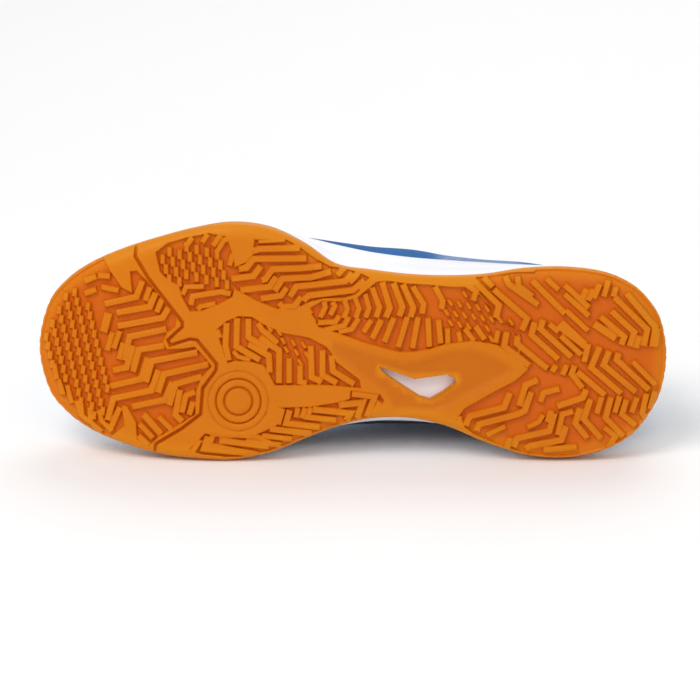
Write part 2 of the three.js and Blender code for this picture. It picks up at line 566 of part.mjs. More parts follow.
// Hollow upper: each rib is a closed strip, and the strips are joined round the ring
const RIB_STEPS = [0.12, 0.26, 0.42, 0.58, 0.74, 0.88, 1];

function upperStrip(u) {
  const { low } = ribEnds(u);
  const margin = planPoint(WALL_X, WALL_Y, u, TUCK + LASTING_MARGIN);
  const inside = planPoint(WALL_X, WALL_Y, u, TUCK + UPPER_WALL);
  const onBed = (p, rise) => new THREE.Vector3(p.x, p.y, footbedAt(p.x) + rise);
  const outer = [onBed(margin, 0), low, ...RIB_STEPS.map((v) => upperPoint(u, v, 0))];
  const inner = [
    onBed(margin, UPPER_WALL),
    onBed(inside, UPPER_WALL),
    ...RIB_STEPS.map((v) => upperPoint(u, v, -wallThickness(u, v))),
  ];
  return [...outer, ...inner.reverse()];
}

// Joins strips round the ring; along the ridge the two sides share their top edge, so the strips
// are left open there
function joinStrips(strips, positions, closedAt, wraps) {
  const size = strips[0].length;
  const top = size / 2 - 1;
  const triangles = [];
  const last = wraps ? strips.length : strips.length - 1;
  for (let i = 0; i < last; i += 1) {
    const next = (i + 1) % strips.length;
    for (let k = 0; k < size; k += 1) {
      if (k === top && closedAt && closedAt(positions[i]) && closedAt(positions[next])) continue;
      const a = i * size + k;
      const b = i * size + ((k + 1) % size);
      const c = next * size + ((k + 1) % size);
      const d = next * size + k;
      triangles.push([a, b, c], [a, c, d]);
    }
  }
  if (!wraps) {
    const cap = (base, flip) => {
      for (let k = 0; k < top; k += 1) {
        const [a, b] = [base + k, base + k + 1];
        const [c, d] = [base + size - 2 - k, base + size - 1 - k];
        for (const t of [[a, b, c], [a, c, d]]) triangles.push(flip ? [t[0], t[2], t[1]] : t);
      }
    };
    cap(0, true);
    cap((strips.length - 1) * size, false);
  }
  return geometryOf(strips.flat(), triangles);
}

// Eyelets: the section each pair lies on, and the turn that lays an axis along the surface's normal
const EYELET_ROWS = [9.4, 10.3, 11.2, 12.1, 13, 13.9];
const EYELET_SIDES = 6;
const PIN_INSIDE = 12;
const PIN_OUTSIDE = 4;
const UP = new THREE.Vector3(0, 0, 1);

function eyeletPoint(u, off) {
  const { low, high } = ribEnds(u);
  return upperPoint(u, 1 - EYELET_INSET / low.distanceTo(high), off);
}

function eyeletCutter() {
  const holes = EYELET_ROWS.flatMap((row) => [row, RING - row]).map((u) => {
    const inside = eyeletPoint(u, -PIN_INSIDE);
    const axis = eyeletPoint(u, PIN_OUTSIDE).sub(inside);
    const turn = new THREE.Quaternion().setFromUnitVectors(UP, axis.clone().normalize());
    const place = new THREE.Matrix4().compose(inside, turn, new THREE.Vector3(1, 1, 1));
    return pin(EYELET_RADIUS, 0, axis.length(), EYELET_SIDES).transform(place.elements);
  });
  return wasm.Manifold.union(holes);
}

function upperSolid() {
  const wall = joinStrips(ringPositions.map(upperStrip), ringPositions, onRidge, true);
  return solidOf(wall).subtract(eyeletCutter());
}

// Overlay: a patch of the upper's own surface, just clear of it, between two shares of each rib
const OVERLAY_LINES = [0, 0.34, 0.67, 1];
const OVERLAY_GAP = 2.5 * CLEARANCE;

function overlaySolid(first, last, low, high) {
  const strips = [];
  for (let i = first; i <= last; i += 1) {
    const u = (i * RING) / RING_STEPS;
    const shares = OVERLAY_LINES.map((f) => mix(low(u), high(u), f));
    const outer = shares.map((v) => upperPoint(u, v, OVERLAY_GAP + OVERLAY_THICKNESS));
    const inner = shares.map((v) => upperPoint(u, v, OVERLAY_GAP));
    strips.push([...outer, ...inner.reverse()]);
  }
  return solidOf(joinStrips(strips, [], null, false));
}

// Eyestays: their lower edge as a share of each rib, with a rise at the front and at the collar
const EYESTAY_FIRST = 12;
const EYESTAY_LAST = 21;
const EYESTAY_EDGE = { low: 0.7, high: 0.965, frontRise: 0.1, collarRise: 0.12 };
const eyestayHigh = () => EYESTAY_EDGE.high;

function eyestayLow(u) {
  const front = EYESTAY_EDGE.frontRise * smooth(12, 14.5, rowOf(u));
  const collar = EYESTAY_EDGE.collarRise * (1 - smooth(8.4, 9.6, rowOf(u)));
  return EYESTAY_EDGE.low + front + collar;
}

function eyestaySolid(side) {
  const ends = [EYESTAY_FIRST, EYESTAY_LAST];
  const [first, last] = side === 'Out' ? ends : ends.map((step) => RING_STEPS - step).reverse();
  return overlaySolid(first, last, eyestayLow, eyestayHigh).subtract(eyeletCutter());
}

// Heel counter: from the foam's edge up to a curved line that falls away to both sides
const COUNTER_STEPS = 7;
const COUNTER_LOW = 44;
const COUNTER_HIGH = 68;

const wallTopHeight = (u) => footbedAt(planPoint(WALL_X, WALL_Y, u, 0).x) + onRing(WALL_UP, u);

function counterSolid() {
  const low = (u) => ribShareAt(u, wallTopHeight(u) + CLEARANCE) + 0.02;
  const high = (u) => {
    const away = smooth(0, (COUNTER_STEPS * RING) / RING_STEPS, rowOf(u));
    return Math.max(low(u) + 0.03, ribShareAt(u, mix(COUNTER_HIGH, COUNTER_LOW, away)));
  };
  return overlaySolid(-COUNTER_STEPS, COUNTER_STEPS, low, high);
}

// Insole on the lasting margin
function insoleSolid() {
  const loop = (inset, rise) => ringPositions.map((u) => {
    const p = planPoint(WALL_X, WALL_Y, u, TUCK + UPPER_WALL + CLEARANCE + inset);
    return new THREE.Vector3(p.x, p.y, footbedAt(p.x) + UPPER_WALL + CLEARANCE + rise);
  });
  return solidOf(stackLoops([loop(1.5, 0), loop(1.2, INSOLE_THICKNESS * 0.6), loop(3, INSOLE_THICKNESS)]));
}

// Tongue: follows the inside of the upper under the throat, then rises free above it
const TONGUE_TOP = 9.1;
const TONGUE_FOOT = 16.2;
const TONGUE_THINS = 14;
const TONGUE_SECTIONS = 9;
const WING_STEPS = [0.8, 0.87, 0.94];

// The free end: how far out, how wide, and how high its middle is arched, as a share of the rise
const TONGUE_TABS = [
  { out: 1.45, wide: 0.62, crown: 0.198 },
  { out: 1.4, wide: 0.72, crown: 0.229 },
  { out: 1.1, wide: 0.72, crown: 0.165 },
  { out: 0.72, wide: 0.7, crown: 0.098 },
  { out: 0.34, wide: 0.78, crown: 0.032 },
];

function tongueSection(u, off) {
  const depth = (x, v) => -wallThickness(x, v) - TONGUE_GAP - off;
  const side = (x) => WING_STEPS.map((v) => upperPoint(x, v, depth(x, v)));
  const crown = upperPoint(u, 1, depth(u, 1)).add(upperPoint(RING - u, 1, depth(u, 1))).multiplyScalar(0.5);
  return [...side(u), crown, ...side(RING - u).reverse()];
}

function tongueSolid() {
  const strips = [];
  const strip = (top, bottom) => strips.push([...top, ...bottom.reverse()]);
  const edge = (row) => new THREE.Vector3(onRing(TOP_X, row), 0, onRing(TOP_Z, row));
  const direction = edge(THROAT_TOP).sub(edge(THROAT_TOP + 3)).normalize();
  for (const { out, wide, crown } of TONGUE_TABS) {
    const place = (off) => tongueSection(TONGUE_TOP, off).map((p) => {
      const moved = p.clone().addScaledVector(direction, out * TONGUE_RISE);
      const middle = onRing(TOP_Z, TONGUE_TOP) + direction.z * out * TONGUE_RISE;
      moved.y *= wide;
      moved.z = mix(middle - off, moved.z, wide * wide) + crown * TONGUE_RISE;
      return moved;
    });
    strip(place(0), place(out === TONGUE_TABS[0].out ? TONGUE_THICKNESS / 2 : TONGUE_THICKNESS));
  }
  for (let k = 0; k <= TONGUE_SECTIONS; k += 1) {
    const u = mix(TONGUE_TOP, TONGUE_FOOT, k / TONGUE_SECTIONS);
    const thickness = TONGUE_THICKNESS * mix(1, 0.5, smooth(TONGUE_THINS, TONGUE_FOOT, u));
    strip(tongueSection(u, 0), tongueSection(u, thickness));
  }
  return solidOf(joinStrips(strips, [], null, false));
}

const LACE_ARCH = 1.2;

// Laces: flat bars that cross between neighbouring pairs of eyelets, joined into one piece
function laceBar(from, to) {
  const off = OVERLAY_GAP + CLEARANCE + OVERLAY_THICKNESS + LACE_THICKNESS / 2;
  const middle = (from + RING - to) / 2;
  const edge = (u) => upperPoint(u, 1, off);
  const outerEdge = mix(from, middle, 0.45);
  const innerEdge = RING - mix(RING - to, middle, 0.45);
  const path = [eyeletPoint(from, off), edge(outerEdge), edge(innerEdge), eyeletPoint(to, off)];
  path.splice(2, 0, path[1].clone().lerp(path[2], 0.5).addScaledVector(UP, LACE_ARCH));
  const ends = [[0, 1], [4, 3]].map(([end, next]) => path[end].clone().add(
    path[end].clone().sub(path[next]).setLength(EYELET_RADIUS * 0.7)));
  path[0] = ends[0];
  path[4] = ends[1];
  const loops = path.map((p, i) => {
    const along = path[Math.min(4, i + 1)].clone().sub(path[Math.max(0, i - 1)]).normalize();
    const up = i === 2 ? UP : upperNormal(i < 2 ? from : to, 0.95);
    const across = along.clone().cross(up).setLength(LACE_WIDTH / 2);
    const rise = across.clone().cross(along).setLength(LACE_THICKNESS / 2);
    return [[1, 1], [-1, 1], [-1, -1], [1, -1]].map(([a, b]) =>
      p.clone().addScaledVector(across, a).addScaledVector(rise, b));
  });
  return solidOf(stackLoops(loops));
}

function lacesSolid() {
  const last = EYELET_ROWS.length - 1;
  const bars = [laceBar(EYELET_ROWS[last], RING - EYELET_ROWS[last])];
  for (let i = 0; i < last; i += 1) {
    bars.push(laceBar(EYELET_ROWS[i], RING - EYELET_ROWS[i + 1]));
    bars.push(laceBar(EYELET_ROWS[i + 1], RING - EYELET_ROWS[i]));
  }
  return wasm.Manifold.union(bars);
}

const COLOURS = {
  eyestay: { color: 0x1a4f8c, roughness: 0.6 },
  counter: { color: 0x1a2a52, roughness: 0.6 },
  laces: { color: 0xf0f0f0, roughness: 0.9 },
  outsole: { color: 0xdb7b18, roughness: 0.45 },
  midsole: { color: 0xf0f0f4, roughness: 0.7 },
  insole: { color: 0x1d2a4a, roughness: 0.9 },
  upper: { color: 0x1f68ac, roughness: 0.85 },
  tongue: { color: 0x1a5a98, roughness: 0.9 },
};

function meshOf(name, solid, finish) {
  const material = new THREE.MeshStandardMaterial({ metalness: 0, ...COLOURS[finish] });
  const mesh = new THREE.Mesh(geometryFrom(solid), material);
  mesh.name = name;
  return mesh;
}

// Tips the standing shoe onto its inner side, where it comes to rest on the sole's edge and the
// upper: the lowest point pulls the down direction round until the shoe stands on three points
const MASS_CENTRE = new THREE.Vector3(0.46 * SOLE_LENGTH, -0.02 * BALL_WIDTH, 0.34 * HEEL_TAB_HEIGHT);

function restingDown(points) {
  const down = new THREE.Vector3(0, -1, 0);
  for (let step = 0.1; step > 1e-8; step *= 0.98) {
    let lowest = points[0];
    for (const p of points) if (p.dot(down) > lowest.dot(down)) lowest = p;
    const pull = lowest.clone().sub(MASS_CENTRE).normalize();
    down.addScaledVector(pull.addScaledVector(down, -pull.dot(down)), -step).normalize();
  }
  return down;
}

function layDown(group) {
  const points = group.children.flatMap(({ geometry }) => {
    const { array } = geometry.attributes.position;
    return Array.from({ length: array.length / 3 }, (_, i) => new THREE.Vector3().fromArray(array, 3 * i));
  });
  const up = restingDown(points).negate();
  const back = new THREE.Vector3(-1, 0, 0).addScaledVector(up, up.x).normalize();
  const turn = new THREE.Matrix4().makeBasis(back, up.clone().cross(back), up).transpose();
  const box = new THREE.Box3().setFromPoints(points.map((p) => p.clone().applyMatrix4(turn)));
  const middle = box.getCenter(new THREE.Vector3());
  group.applyMatrix4(turn);
  group.position.set(-middle.x, -middle.y, -box.min.z);
}

const standing = new THREE.Group();
standing.add(meshOf('outsole', outsoleSolid(), 'outsole'));
standing.add(meshOf('midsole', midsoleSolid(), 'midsole'));
standing.add(meshOf('insole', insoleSolid(), 'insole'));
standing.add(meshOf('upper', upperSolid(), 'upper'));
standing.add(meshOf('tongue', tongueSolid(), 'tongue'));
standing.add(meshOf('eyestay_outer', eyestaySolid('Out'), 'eyestay'));
standing.add(meshOf('eyestay_inner', eyestaySolid('In'), 'eyestay'));
standing.add(meshOf('heel_counter', counterSolid(), 'counter'));
standing.add(meshOf('laces', lacesSolid(), 'laces'));
layDown(standing);

const shoe = new THREE.Group();
shoe.add(standing);
export default shoe;
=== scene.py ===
"""Indoor court shoe for the left foot, lying on its inner side with the sole towards the camera.

The construction model gives every size and place. This file gives each piece its finished
surface: the moulded tread, the foam, the textile upper with its overlays and stitching, the
tongue, the laces and the footbed. Lengths in the tables and functions are millimetres in the
standing shoe's own axes: x from heel to toe, y towards the outer side, z up from the ground.
"""

import json
import math

import bmesh
import bpy
import numpy as np
from bpy.props import FloatProperty, FloatVectorProperty, PointerProperty
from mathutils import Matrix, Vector
from mathutils.geometry import delaunay_2d_cdt


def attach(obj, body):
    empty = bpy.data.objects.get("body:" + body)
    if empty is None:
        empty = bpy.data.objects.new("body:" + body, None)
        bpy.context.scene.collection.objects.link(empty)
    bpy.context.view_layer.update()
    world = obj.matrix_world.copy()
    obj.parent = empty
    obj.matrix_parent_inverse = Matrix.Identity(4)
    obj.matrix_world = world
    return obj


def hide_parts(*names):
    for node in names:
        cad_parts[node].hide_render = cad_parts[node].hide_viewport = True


bl_info = {
    "name": "Indoor Court Shoe",
    "version": (1, 0, 0),
    "blender": (4, 5, 0),
    "location": "View3D > Sidebar > Court Shoe",
    "description": "Finishes the construction model of an indoor court shoe",
    "category": "Object",
}

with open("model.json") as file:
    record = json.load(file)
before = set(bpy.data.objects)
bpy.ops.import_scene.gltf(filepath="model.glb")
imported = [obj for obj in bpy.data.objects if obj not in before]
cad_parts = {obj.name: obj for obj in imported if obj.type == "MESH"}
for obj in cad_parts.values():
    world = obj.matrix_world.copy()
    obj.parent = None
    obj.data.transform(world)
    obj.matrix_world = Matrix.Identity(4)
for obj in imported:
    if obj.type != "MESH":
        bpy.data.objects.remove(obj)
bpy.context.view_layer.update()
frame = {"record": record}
MM = 0.001

# Sizes shared with the construction model, in millimetres
SOLE_LENGTH = 292.0
BALL_WIDTH = 110.3
WAIST_WIDTH = 67.0
HEEL_WIDTH = 88.7
TOE_SPRING = 16.0
TOE_SPRING_START = 0.7
HEEL_ROCKER = 3.0
HEEL_ROCKER_END = 0.075
OUTSOLE_THICKNESS = 4.6
SHANK_DEPTH = 1.2
EDGE_ROUND = 5.0
LIP_HEIGHT = 10.0
LIP_THICKNESS = 2.0
HEEL_STACK = 24.0
FOREFOOT_STACK = 15.0
WALL_RISE = 12.0
HEEL_WALL_INSET = 2.5
TOE_WALL_INSET = 6.0
WALL_GROOVE = 0.8
HEEL_TAB_HEIGHT = 90.0
INSTEP_HEIGHT = 91.0
TOE_BOX_HEIGHT = 49.0
COLLAR_WIDTH = 70.5
THROAT_WIDTH = 42.0
UPPER_WALL = 2.4
COLLAR_PADDING = 6.5
LASTING_MARGIN = 9.0
TUCK = 5.0
CLEARANCE = 0.3
OVERLAY_THICKNESS = 1.1
INSOLE_THICKNESS = 4.0
TONGUE_THICKNESS = 4.5
TONGUE_RISE = 22.0
TONGUE_GAP = 1.9
EYELET_RADIUS = 2.0
EYELET_INSET = 7.0

# Sections of the sole: place along it, width the shares are of, edges of the rubber and of the
# foam's top on both sides, rise of the foam wall, rise of the rubber lip on both sides
SOLE = [
    (0.000, HEEL_WIDTH, -0.017, -0.017, -0.023, -0.023, 1.25, 1.3, 1.3),
    (0.008, HEEL_WIDTH, 0.156, -0.192, 0.130, -0.175, 1.24, 1.3, 1.3),
    (0.026, HEEL_WIDTH, 0.263, -0.316, 0.225, -0.282, 1.20, 1.3, 1.3),
    (0.055, HEEL_WIDTH, 0.355, -0.430, 0.310, -0.375, 1.12, 1.2, 1.2),
    (0.099, HEEL_WIDTH, 0.420, -0.512, 0.378, -0.445, 1.02, 1.1, 1.1),
    (0.160, HEEL_WIDTH, 0.448, -0.552, 0.417, -0.480, 0.94, 1.0, 1.0),
    (0.225, HEEL_WIDTH, 0.443, -0.536, 0.435, -0.469, 0.90, 0.9, 0.9),
    (0.290, HEEL_WIDTH, 0.413, -0.468, 0.451, -0.440, 0.88, 0.8, 0.8),
    (0.350, WAIST_WIDTH, 0.536, -0.510, 0.616, -0.546, 0.86, 0.8, 0.7),
    (0.410, WAIST_WIDTH, 0.546, -0.454, 0.639, -0.525, 0.85, 0.8, 0.7),
    (0.470, WAIST_WIDTH, 0.578, -0.457, 0.675, -0.522, 0.84, 0.8, 0.7),
    (0.525, WAIST_WIDTH, 0.619, -0.513, 0.725, -0.546, 0.84, 0.9, 0.8),
    (0.575, BALL_WIDTH, 0.462, -0.362, 0.470, -0.355, 0.84, 1.2, 0.9),
    (0.630, BALL_WIDTH, 0.529, -0.420, 0.490, -0.384, 0.84, 1.4, 0.9),
    (0.690, BALL_WIDTH, 0.549, -0.451, 0.497, -0.401, 0.84, 1.4, 0.9),
    (0.750, BALL_WIDTH, 0.526, -0.446, 0.481, -0.399, 0.84, 1.1, 0.9),
    (0.810, BALL_WIDTH, 0.484, -0.426, 0.444, -0.379, 0.84, 0.9, 1.0),
    (0.865, BALL_WIDTH, 0.435, -0.386, 0.397, -0.343, 0.86, 1.0, 1.2),
    (0.915, BALL_WIDTH, 0.374, -0.333, 0.335, -0.290, 0.90, 1.3, 1.5),
    (0.955, BALL_WIDTH, 0.299, -0.261, 0.263, -0.223, 0.95, 1.6, 1.7),
    (0.985, BALL_WIDTH, 0.195, -0.161, 0.168, -0.132, 1.00, 1.8, 1.8),
    (1.000, BALL_WIDTH, 0.015, 0.015, 0.016, 0.016, 1.00, 1.8, 1.8),
]

# Sections of the upper's top edge: place, height share and what it is of, edges and what they are
# of, slope there, swell above the foam on both sides, reach of the two slopes
UPPER = [
    (0.037, 1.000, HEEL_TAB_HEIGHT, -0.043, -0.043, COLLAR_WIDTH, 92, 0.42, 0.42, 0.34, 0.36),
    (0.039, 0.995, HEEL_TAB_HEIGHT, 0.100, -0.180, COLLAR_WIDTH, 92, 0.42, 0.42, 0.34, 0.36),
    (0.047, 0.980, HEEL_TAB_HEIGHT, 0.215, -0.292, COLLAR_WIDTH, 92, 0.42, 0.42, 0.34, 0.36),
    (0.068, 0.945, HEEL_TAB_HEIGHT, 0.315, -0.398, COLLAR_WIDTH, 91, 0.44, 0.44, 0.34, 0.36),
    (0.109, 0.885, HEEL_TAB_HEIGHT, 0.400, -0.482, COLLAR_WIDTH, 90, 0.46, 0.46, 0.34, 0.36),
    (0.168, 0.822, HEEL_TAB_HEIGHT, 0.450, -0.530, COLLAR_WIDTH, 88, 0.48, 0.48, 0.37, 0.36),
    (0.230, 0.790, HEEL_TAB_HEIGHT, 0.462, -0.538, COLLAR_WIDTH, 86, 0.46, 0.48, 0.42, 0.36),
    (0.292, 0.805, HEEL_TAB_HEIGHT, 0.438, -0.495, COLLAR_WIDTH, 82, 0.42, 0.46, 0.48, 0.36),
    (0.348, 0.892, INSTEP_HEIGHT, 0.630, -0.690, THROAT_WIDTH, 74, 0.38, 0.44, 0.54, 0.36),
    (0.400, 1.000, INSTEP_HEIGHT, 0.488, -0.512, THROAT_WIDTH, 60, 0.38, 0.44, 0.56, 0.38),
    (0.459, 0.965, INSTEP_HEIGHT, 0.430, -0.420, THROAT_WIDTH, 48, 0.38, 0.44, 0.55, 0.40),
    (0.514, 0.896, INSTEP_HEIGHT, 0.385, -0.345, THROAT_WIDTH, 41, 0.39, 0.43, 0.52, 0.43),
    (0.563, 0.830, INSTEP_HEIGHT, 0.350, -0.285, THROAT_WIDTH, 35, 0.39, 0.41, 0.49, 0.46),
    (0.616, 0.757, INSTEP_HEIGHT, 0.305, -0.225, THROAT_WIDTH, 28, 0.40, 0.40, 0.47, 0.50),
    (0.668, 0.690, INSTEP_HEIGHT, 0.238, -0.143, THROAT_WIDTH, 20, 0.40, 0.40, 0.46, 0.54),
    (0.696, 1.225, TOE_BOX_HEIGHT, 0.048, 0.048, THROAT_WIDTH, 6, 0.40, 0.40, 0.46, 0.58),
    (0.750, 1.140, TOE_BOX_HEIGHT, 0.048, 0.048, THROAT_WIDTH, 5, 0.42, 0.42, 0.48, 0.58),
    (0.802, 1.085, TOE_BOX_HEIGHT, 0.043, 0.043, THROAT_WIDTH, 5, 0.44, 0.44, 0.50, 0.56),
    (0.842, 1.050, TOE_BOX_HEIGHT, 0.040, 0.040, THROAT_WIDTH, 7, 0.46, 0.46, 0.50, 0.56),
    (0.868, 1.025, TOE_BOX_HEIGHT, 0.038, 0.038, THROAT_WIDTH, 10, 0.46, 0.46, 0.50, 0.56),
    (0.881, 1.008, TOE_BOX_HEIGHT, 0.038, 0.038, THROAT_WIDTH, 13, 0.46, 0.46, 0.50, 0.56),
    (0.886, 1.000, TOE_BOX_HEIGHT, 0.038, 0.038, THROAT_WIDTH, 14, 0.46, 0.46, 0.50, 0.56),
]

LAST_ROW = len(SOLE) - 1
RING = 2 * LAST_ROW
THROAT_TOP = 9
RIDGE_START = 15
EYELET_ROWS = (9.4, 10.3, 11.2, 12.1, 13.0, 13.9)

# The tread's chart, in millimetres along and across the sole: the window in the waist, the pockets
# that the lugs stand in, the sunk shank, the flex groove, and the grooves round the pivot disc
WINDOW = [
    (133.5, -6), (125, -8.8), (117, -11.8), (110, -10.8), (102, -9.6), (98.8, -11.2), (98, -13),
    (104, -17.5), (110, -21), (115, -19.5), (123, -14.4), (131, -9),
]

TREAD_ZONES = {
    "toe": [
        (297, 0), (294, 20), (286, 34), (274, 44), (263, 48), (257.5, 37.6), (252.4, 30.4), (247.6, 28),
        (248.6, 38), (245.4, 38.4), (238.6, 31.6), (230.4, 21.4), (227, 17.6), (227.6, 12.4),
        (231.4, 9.6), (233.4, 5.6), (231.6, 2), (224.6, 2.4), (218.6, 3.4), (212.6, -3), (210.8, -6),
        (215.4, -11), (218, -17), (218.4, -28.4), (227.4, -34), (236, -39.4), (240, -43.4),
        (245.8, -40.6), (246.4, -32), (250.4, -25), (252.8, -24.6), (251.6, -34), (257.5, -39),
        (260, -46), (276, -41), (289, -26), (296, -10),
    ],
    "outerStuds": [
        (236.6, 47), (234.6, 38), (231.4, 34.4), (226, 31.6), (224.6, 26.4), (220.8, 19.6), (215.6, 19.8),
        (208, 22.6), (201, 26.4), (199.6, 33), (200.2, 44), (203.6, 54.4), (212, 56), (222, 54),
        (231, 51.4),
    ],
    "outerBars": [
        (203, 35.6), (199, 29.4), (190, 24.6), (180.6, 20.8), (172, 20.6), (165.6, 24), (159, 25.6),
        (149.6, 25.8), (144.6, 27.4), (136, 34.6), (141, 37), (148, 39.4), (156, 40.6), (163, 44.4),
        (170, 49.6), (176, 53), (191, 53), (191.6, 46), (195, 42.4), (199.6, 40.6),
    ],
    "ribs": [
        (166, 21), (161.6, 12.4), (150, 8.6), (140, 5), (130, 2.2), (124, 0.6), (117, 0.8), (110, 2),
        (103, 4.2), (90, 5.8), (79, 4), (69, -2.6), (69, 9), (77, 16), (90, 31), (100, 31), (110, 32),
        (120, 32.6), (130, 34), (134.6, 33.4), (143.6, 26), (149, 24.6), (160, 24.4),
    ],
    "middle": [
        (208.6, 11.4), (204, 15.2), (198.6, 17.6), (192, 17.2), (186.6, 13.6), (178, 9.8), (166, 7.6),
        (158, 3.4), (155.4, 0.4), (153, -4), (142.6, -12), (141.6, -16.2), (152, -15.2), (160, -14.6),
        (181.6, -14.8), (184.4, -9.6), (187, -5.4), (192, -4), (200, -3.4), (203.6, -4.4), (206.8, 5),
    ],
    "innerBars": [
        (146.8, -17), (133, -19), (131, -22), (137, -30.4), (150, -32.6), (160, -36.2), (170, -40.6),
        (178, -43.6), (190, -37.4), (181, -33.4), (179.6, -25), (165, -24.6), (152.8, -22.6), (147, -21),
    ],
    "innerEdge": [
        (214, -37), (222, -45), (212, -48.4), (196, -48.2), (184, -45.4), (178.8, -43.9), (190, -39.6),
        (208, -38.6),
    ],
    "heel": [
        (68.6, -2.9), (68.6, 8.8), (77, 15.6), (89.6, 31), (89, 35.6), (75, 37.6), (62, 38), (56, 46),
        (30, 46), (12, 36), (-3, 20), (-6, 0), (-4, -22), (8, -42), (24, -54), (44, -56), (60, -52),
        (66, -46.8), (78, -43), (90, -37.6), (98, -31), (94, -25.6), (80, -17.6), (70.4, -12.6),
        (64.6, -7.4),
    ],
}

SHANK = [
    (155, 7), (150, 6), (140, 2.4), (130, -1), (123, -2.8), (115, -2), (105, 1.6), (97, 3.4), (90, 3.2),
    (82, 0.6), (75, -3), (69.6, -6.6), (71, -9.6), (80, -14.6), (90, -20), (100, -25.4), (108, -28.4),
    (128, -28.4), (128.6, -24), (131, -19.4), (138, -14), (148, -7), (153.6, -2.4), (156.4, 1.6),
]

FLEX_GROOVE = [
    (245.6, 51), (246, 45), (240, 35), (230, 22), (224.4, 14.8), (224.2, 12.6), (231, 6.4), (230, 3.9),
    (221, 6.8), (217.6, 6.4), (208.6, -4.6), (208.8, -7.6), (215, -16), (216, -28), (225, -35),
    (237, -42.2), (238, -49),
]

PIVOT_CENTRE = (198.6, -22.0)
PIVOT_GROOVES = ((5.8, 7.2), (9.8, 11.0), (13.6, 14.3))

# Main lugs, each as the path of its middle
MAIN_LUGS = [
    [(260.5, 22.6), (245.6, 26.2), (242.8, 33.6)], [(255, 18.6), (239.4, 21.6), (236.8, 28)],
    [(254.6, 12.4), (233.4, 16.6), (230.6, 21.4)], [(251.4, -3.4), (249, 7.6), (231.8, 11.4)],
    [(257, -8.2), (250.4, -6.8), (247.4, 3.4)], [(233, 3.6), (244.6, 1.6), (247.4, -8.6)],
    [(258, -15.6), (243.6, -12), (240.6, -2)], [(217.5, 0.6), (238.6, -3.6), (241.4, -13.4)],
    [(259.6, -31.6), (256.8, -21.4), (239, -17.4), (235.6, -7.8)],
    [(212.5, -4.8), (233, -9.6), (235.8, -18.2)], [(248, -25), (232.6, -21.6), (229.2, -13.4)],
    [(215.5, -10.6), (227.6, -14.2), (230.6, -24)], [(225.6, -17), (227.8, -28.6), (224.6, -31.6)],
    [(198, 39.4), (194.6, 39.8), (191.4, 44), (167, 44.2)], [(191.4, 47.6), (188.6, 48.6), (170, 49)],
    [(201.6, 34.8), (191.4, 36), (188, 40.6)],
    [(187.6, 34), (185.8, 34.6), (182.6, 39.2), (170, 39.6), (160, 40.6)],
    [(197.4, 29.6), (184, 31), (181, 35.6)], [(181.6, 29.2), (178, 34.8), (165, 35.4), (155.6, 38)],
    [(174.6, 26.6), (171.6, 31.2), (165, 31.8), (149, 33.6), (145.6, 37)],
    [(168.4, 24.6), (166, 27), (145.6, 29.4), (140, 34)], [(132, 33.2), (128.4, 21.4), (130.2, 16.8)],
    [(126.8, 32.6), (122.6, 21.8), (124, 17.4)], [(122.4, 32), (117.6, 21.6), (118.8, 17)],
    [(203.8, 14.2), (204.4, 4), (203, -3)], [(199, 16.4), (199.4, 3.4), (188.6, -2.8)],
    [(193.8, 16.2), (193.8, 7.8), (185, 2.2)], [(193.8, 4.4), (184.4, -1), (184, -8.6)],
    [(188.4, 7.6), (179.6, 1.4), (179.8, -13.6)], [(165, 3.6), (164.6, -11), (160, -13.2)],
    [(159.6, 1.6), (159.6, -10), (153, -13.6)], [(155.4, -1), (154.8, -8), (145, -14.2)],
    [(146, -18.6), (135.4, -20), (139, -29.2)], [(152, -24), (141, -22.8), (143.6, -30)],
    [(164, -26), (146.6, -27.8), (148.6, -31)], [(174.8, -26.4), (176.6, -32.4), (161, -34.2)],
    [(184, -35), (165, -37.2)], [(212.8, -38.6), (214.6, -44.2), (192, -46.6)],
    [(207.4, -40.4), (184.6, -43.2)], [(90, 34), (78, 22.4), (79.4, 16.6)],
    [(80.4, 29.6), (65, 16.2), (67.4, 10.8)], [(75, 35.6), (73.6, 32.2), (60, 22.6)],
    [(62.6, 33.6), (47.6, 18.6)], [(74.4, 10), (75.6, 3.4), (64, -5.6)],
    [(69.4, 8), (69.8, 4.6), (55.6, -7)], [(61.6, 14.4), (63, 8.6), (50.6, -2.6)],
    [(57.6, 15.6), (59, 11.6), (44.6, -1.6)], [(50.6, 13), (38, 3)],
    [(31.4, 3), (35.4, -6.6), (21.4, -18.6)], [(27, 1), (29.6, -5.4), (14.6, -18)],
    [(22.6, 0), (23.6, -3), (8.6, -17)], [(41.6, -8.6), (29, -19.4)], [(24.6, 26), (9.4, 11), (11, 3.4)],
    [(26, 19.6), (15.4, 9.8), (17.6, 3.4)], [(31, 17), (20, 7.6), (21.4, 4)],
    [(19, 27.6), (5.6, 12), (7, 3)], [(93.4, -33.6), (91.4, -29.2), (75.6, -25.2), (72.8, -18.4)],
    [(88.2, -36), (87.2, -33), (69.4, -28.4), (66, -26.8), (63, -18)],
    [(68.6, -24.4), (65.6, -14.6), (60, -12.4)], [(71, -43.6), (69.4, -39.6), (54.6, -36.2), (52.2, -28)],
    [(65.6, -44.4), (63, -43), (49, -40.4), (46.8, -34)], [(51, -24.6), (39, -20.6), (37.6, -16.8)],
    [(40.4, -25.6), (42.6, -32.6), (37, -39.4)], [(35.6, -21.4), (38.6, -30.6), (30.6, -39.6)],
    [(26, -20.4), (28.6, -30), (20.4, -38.6)],
]

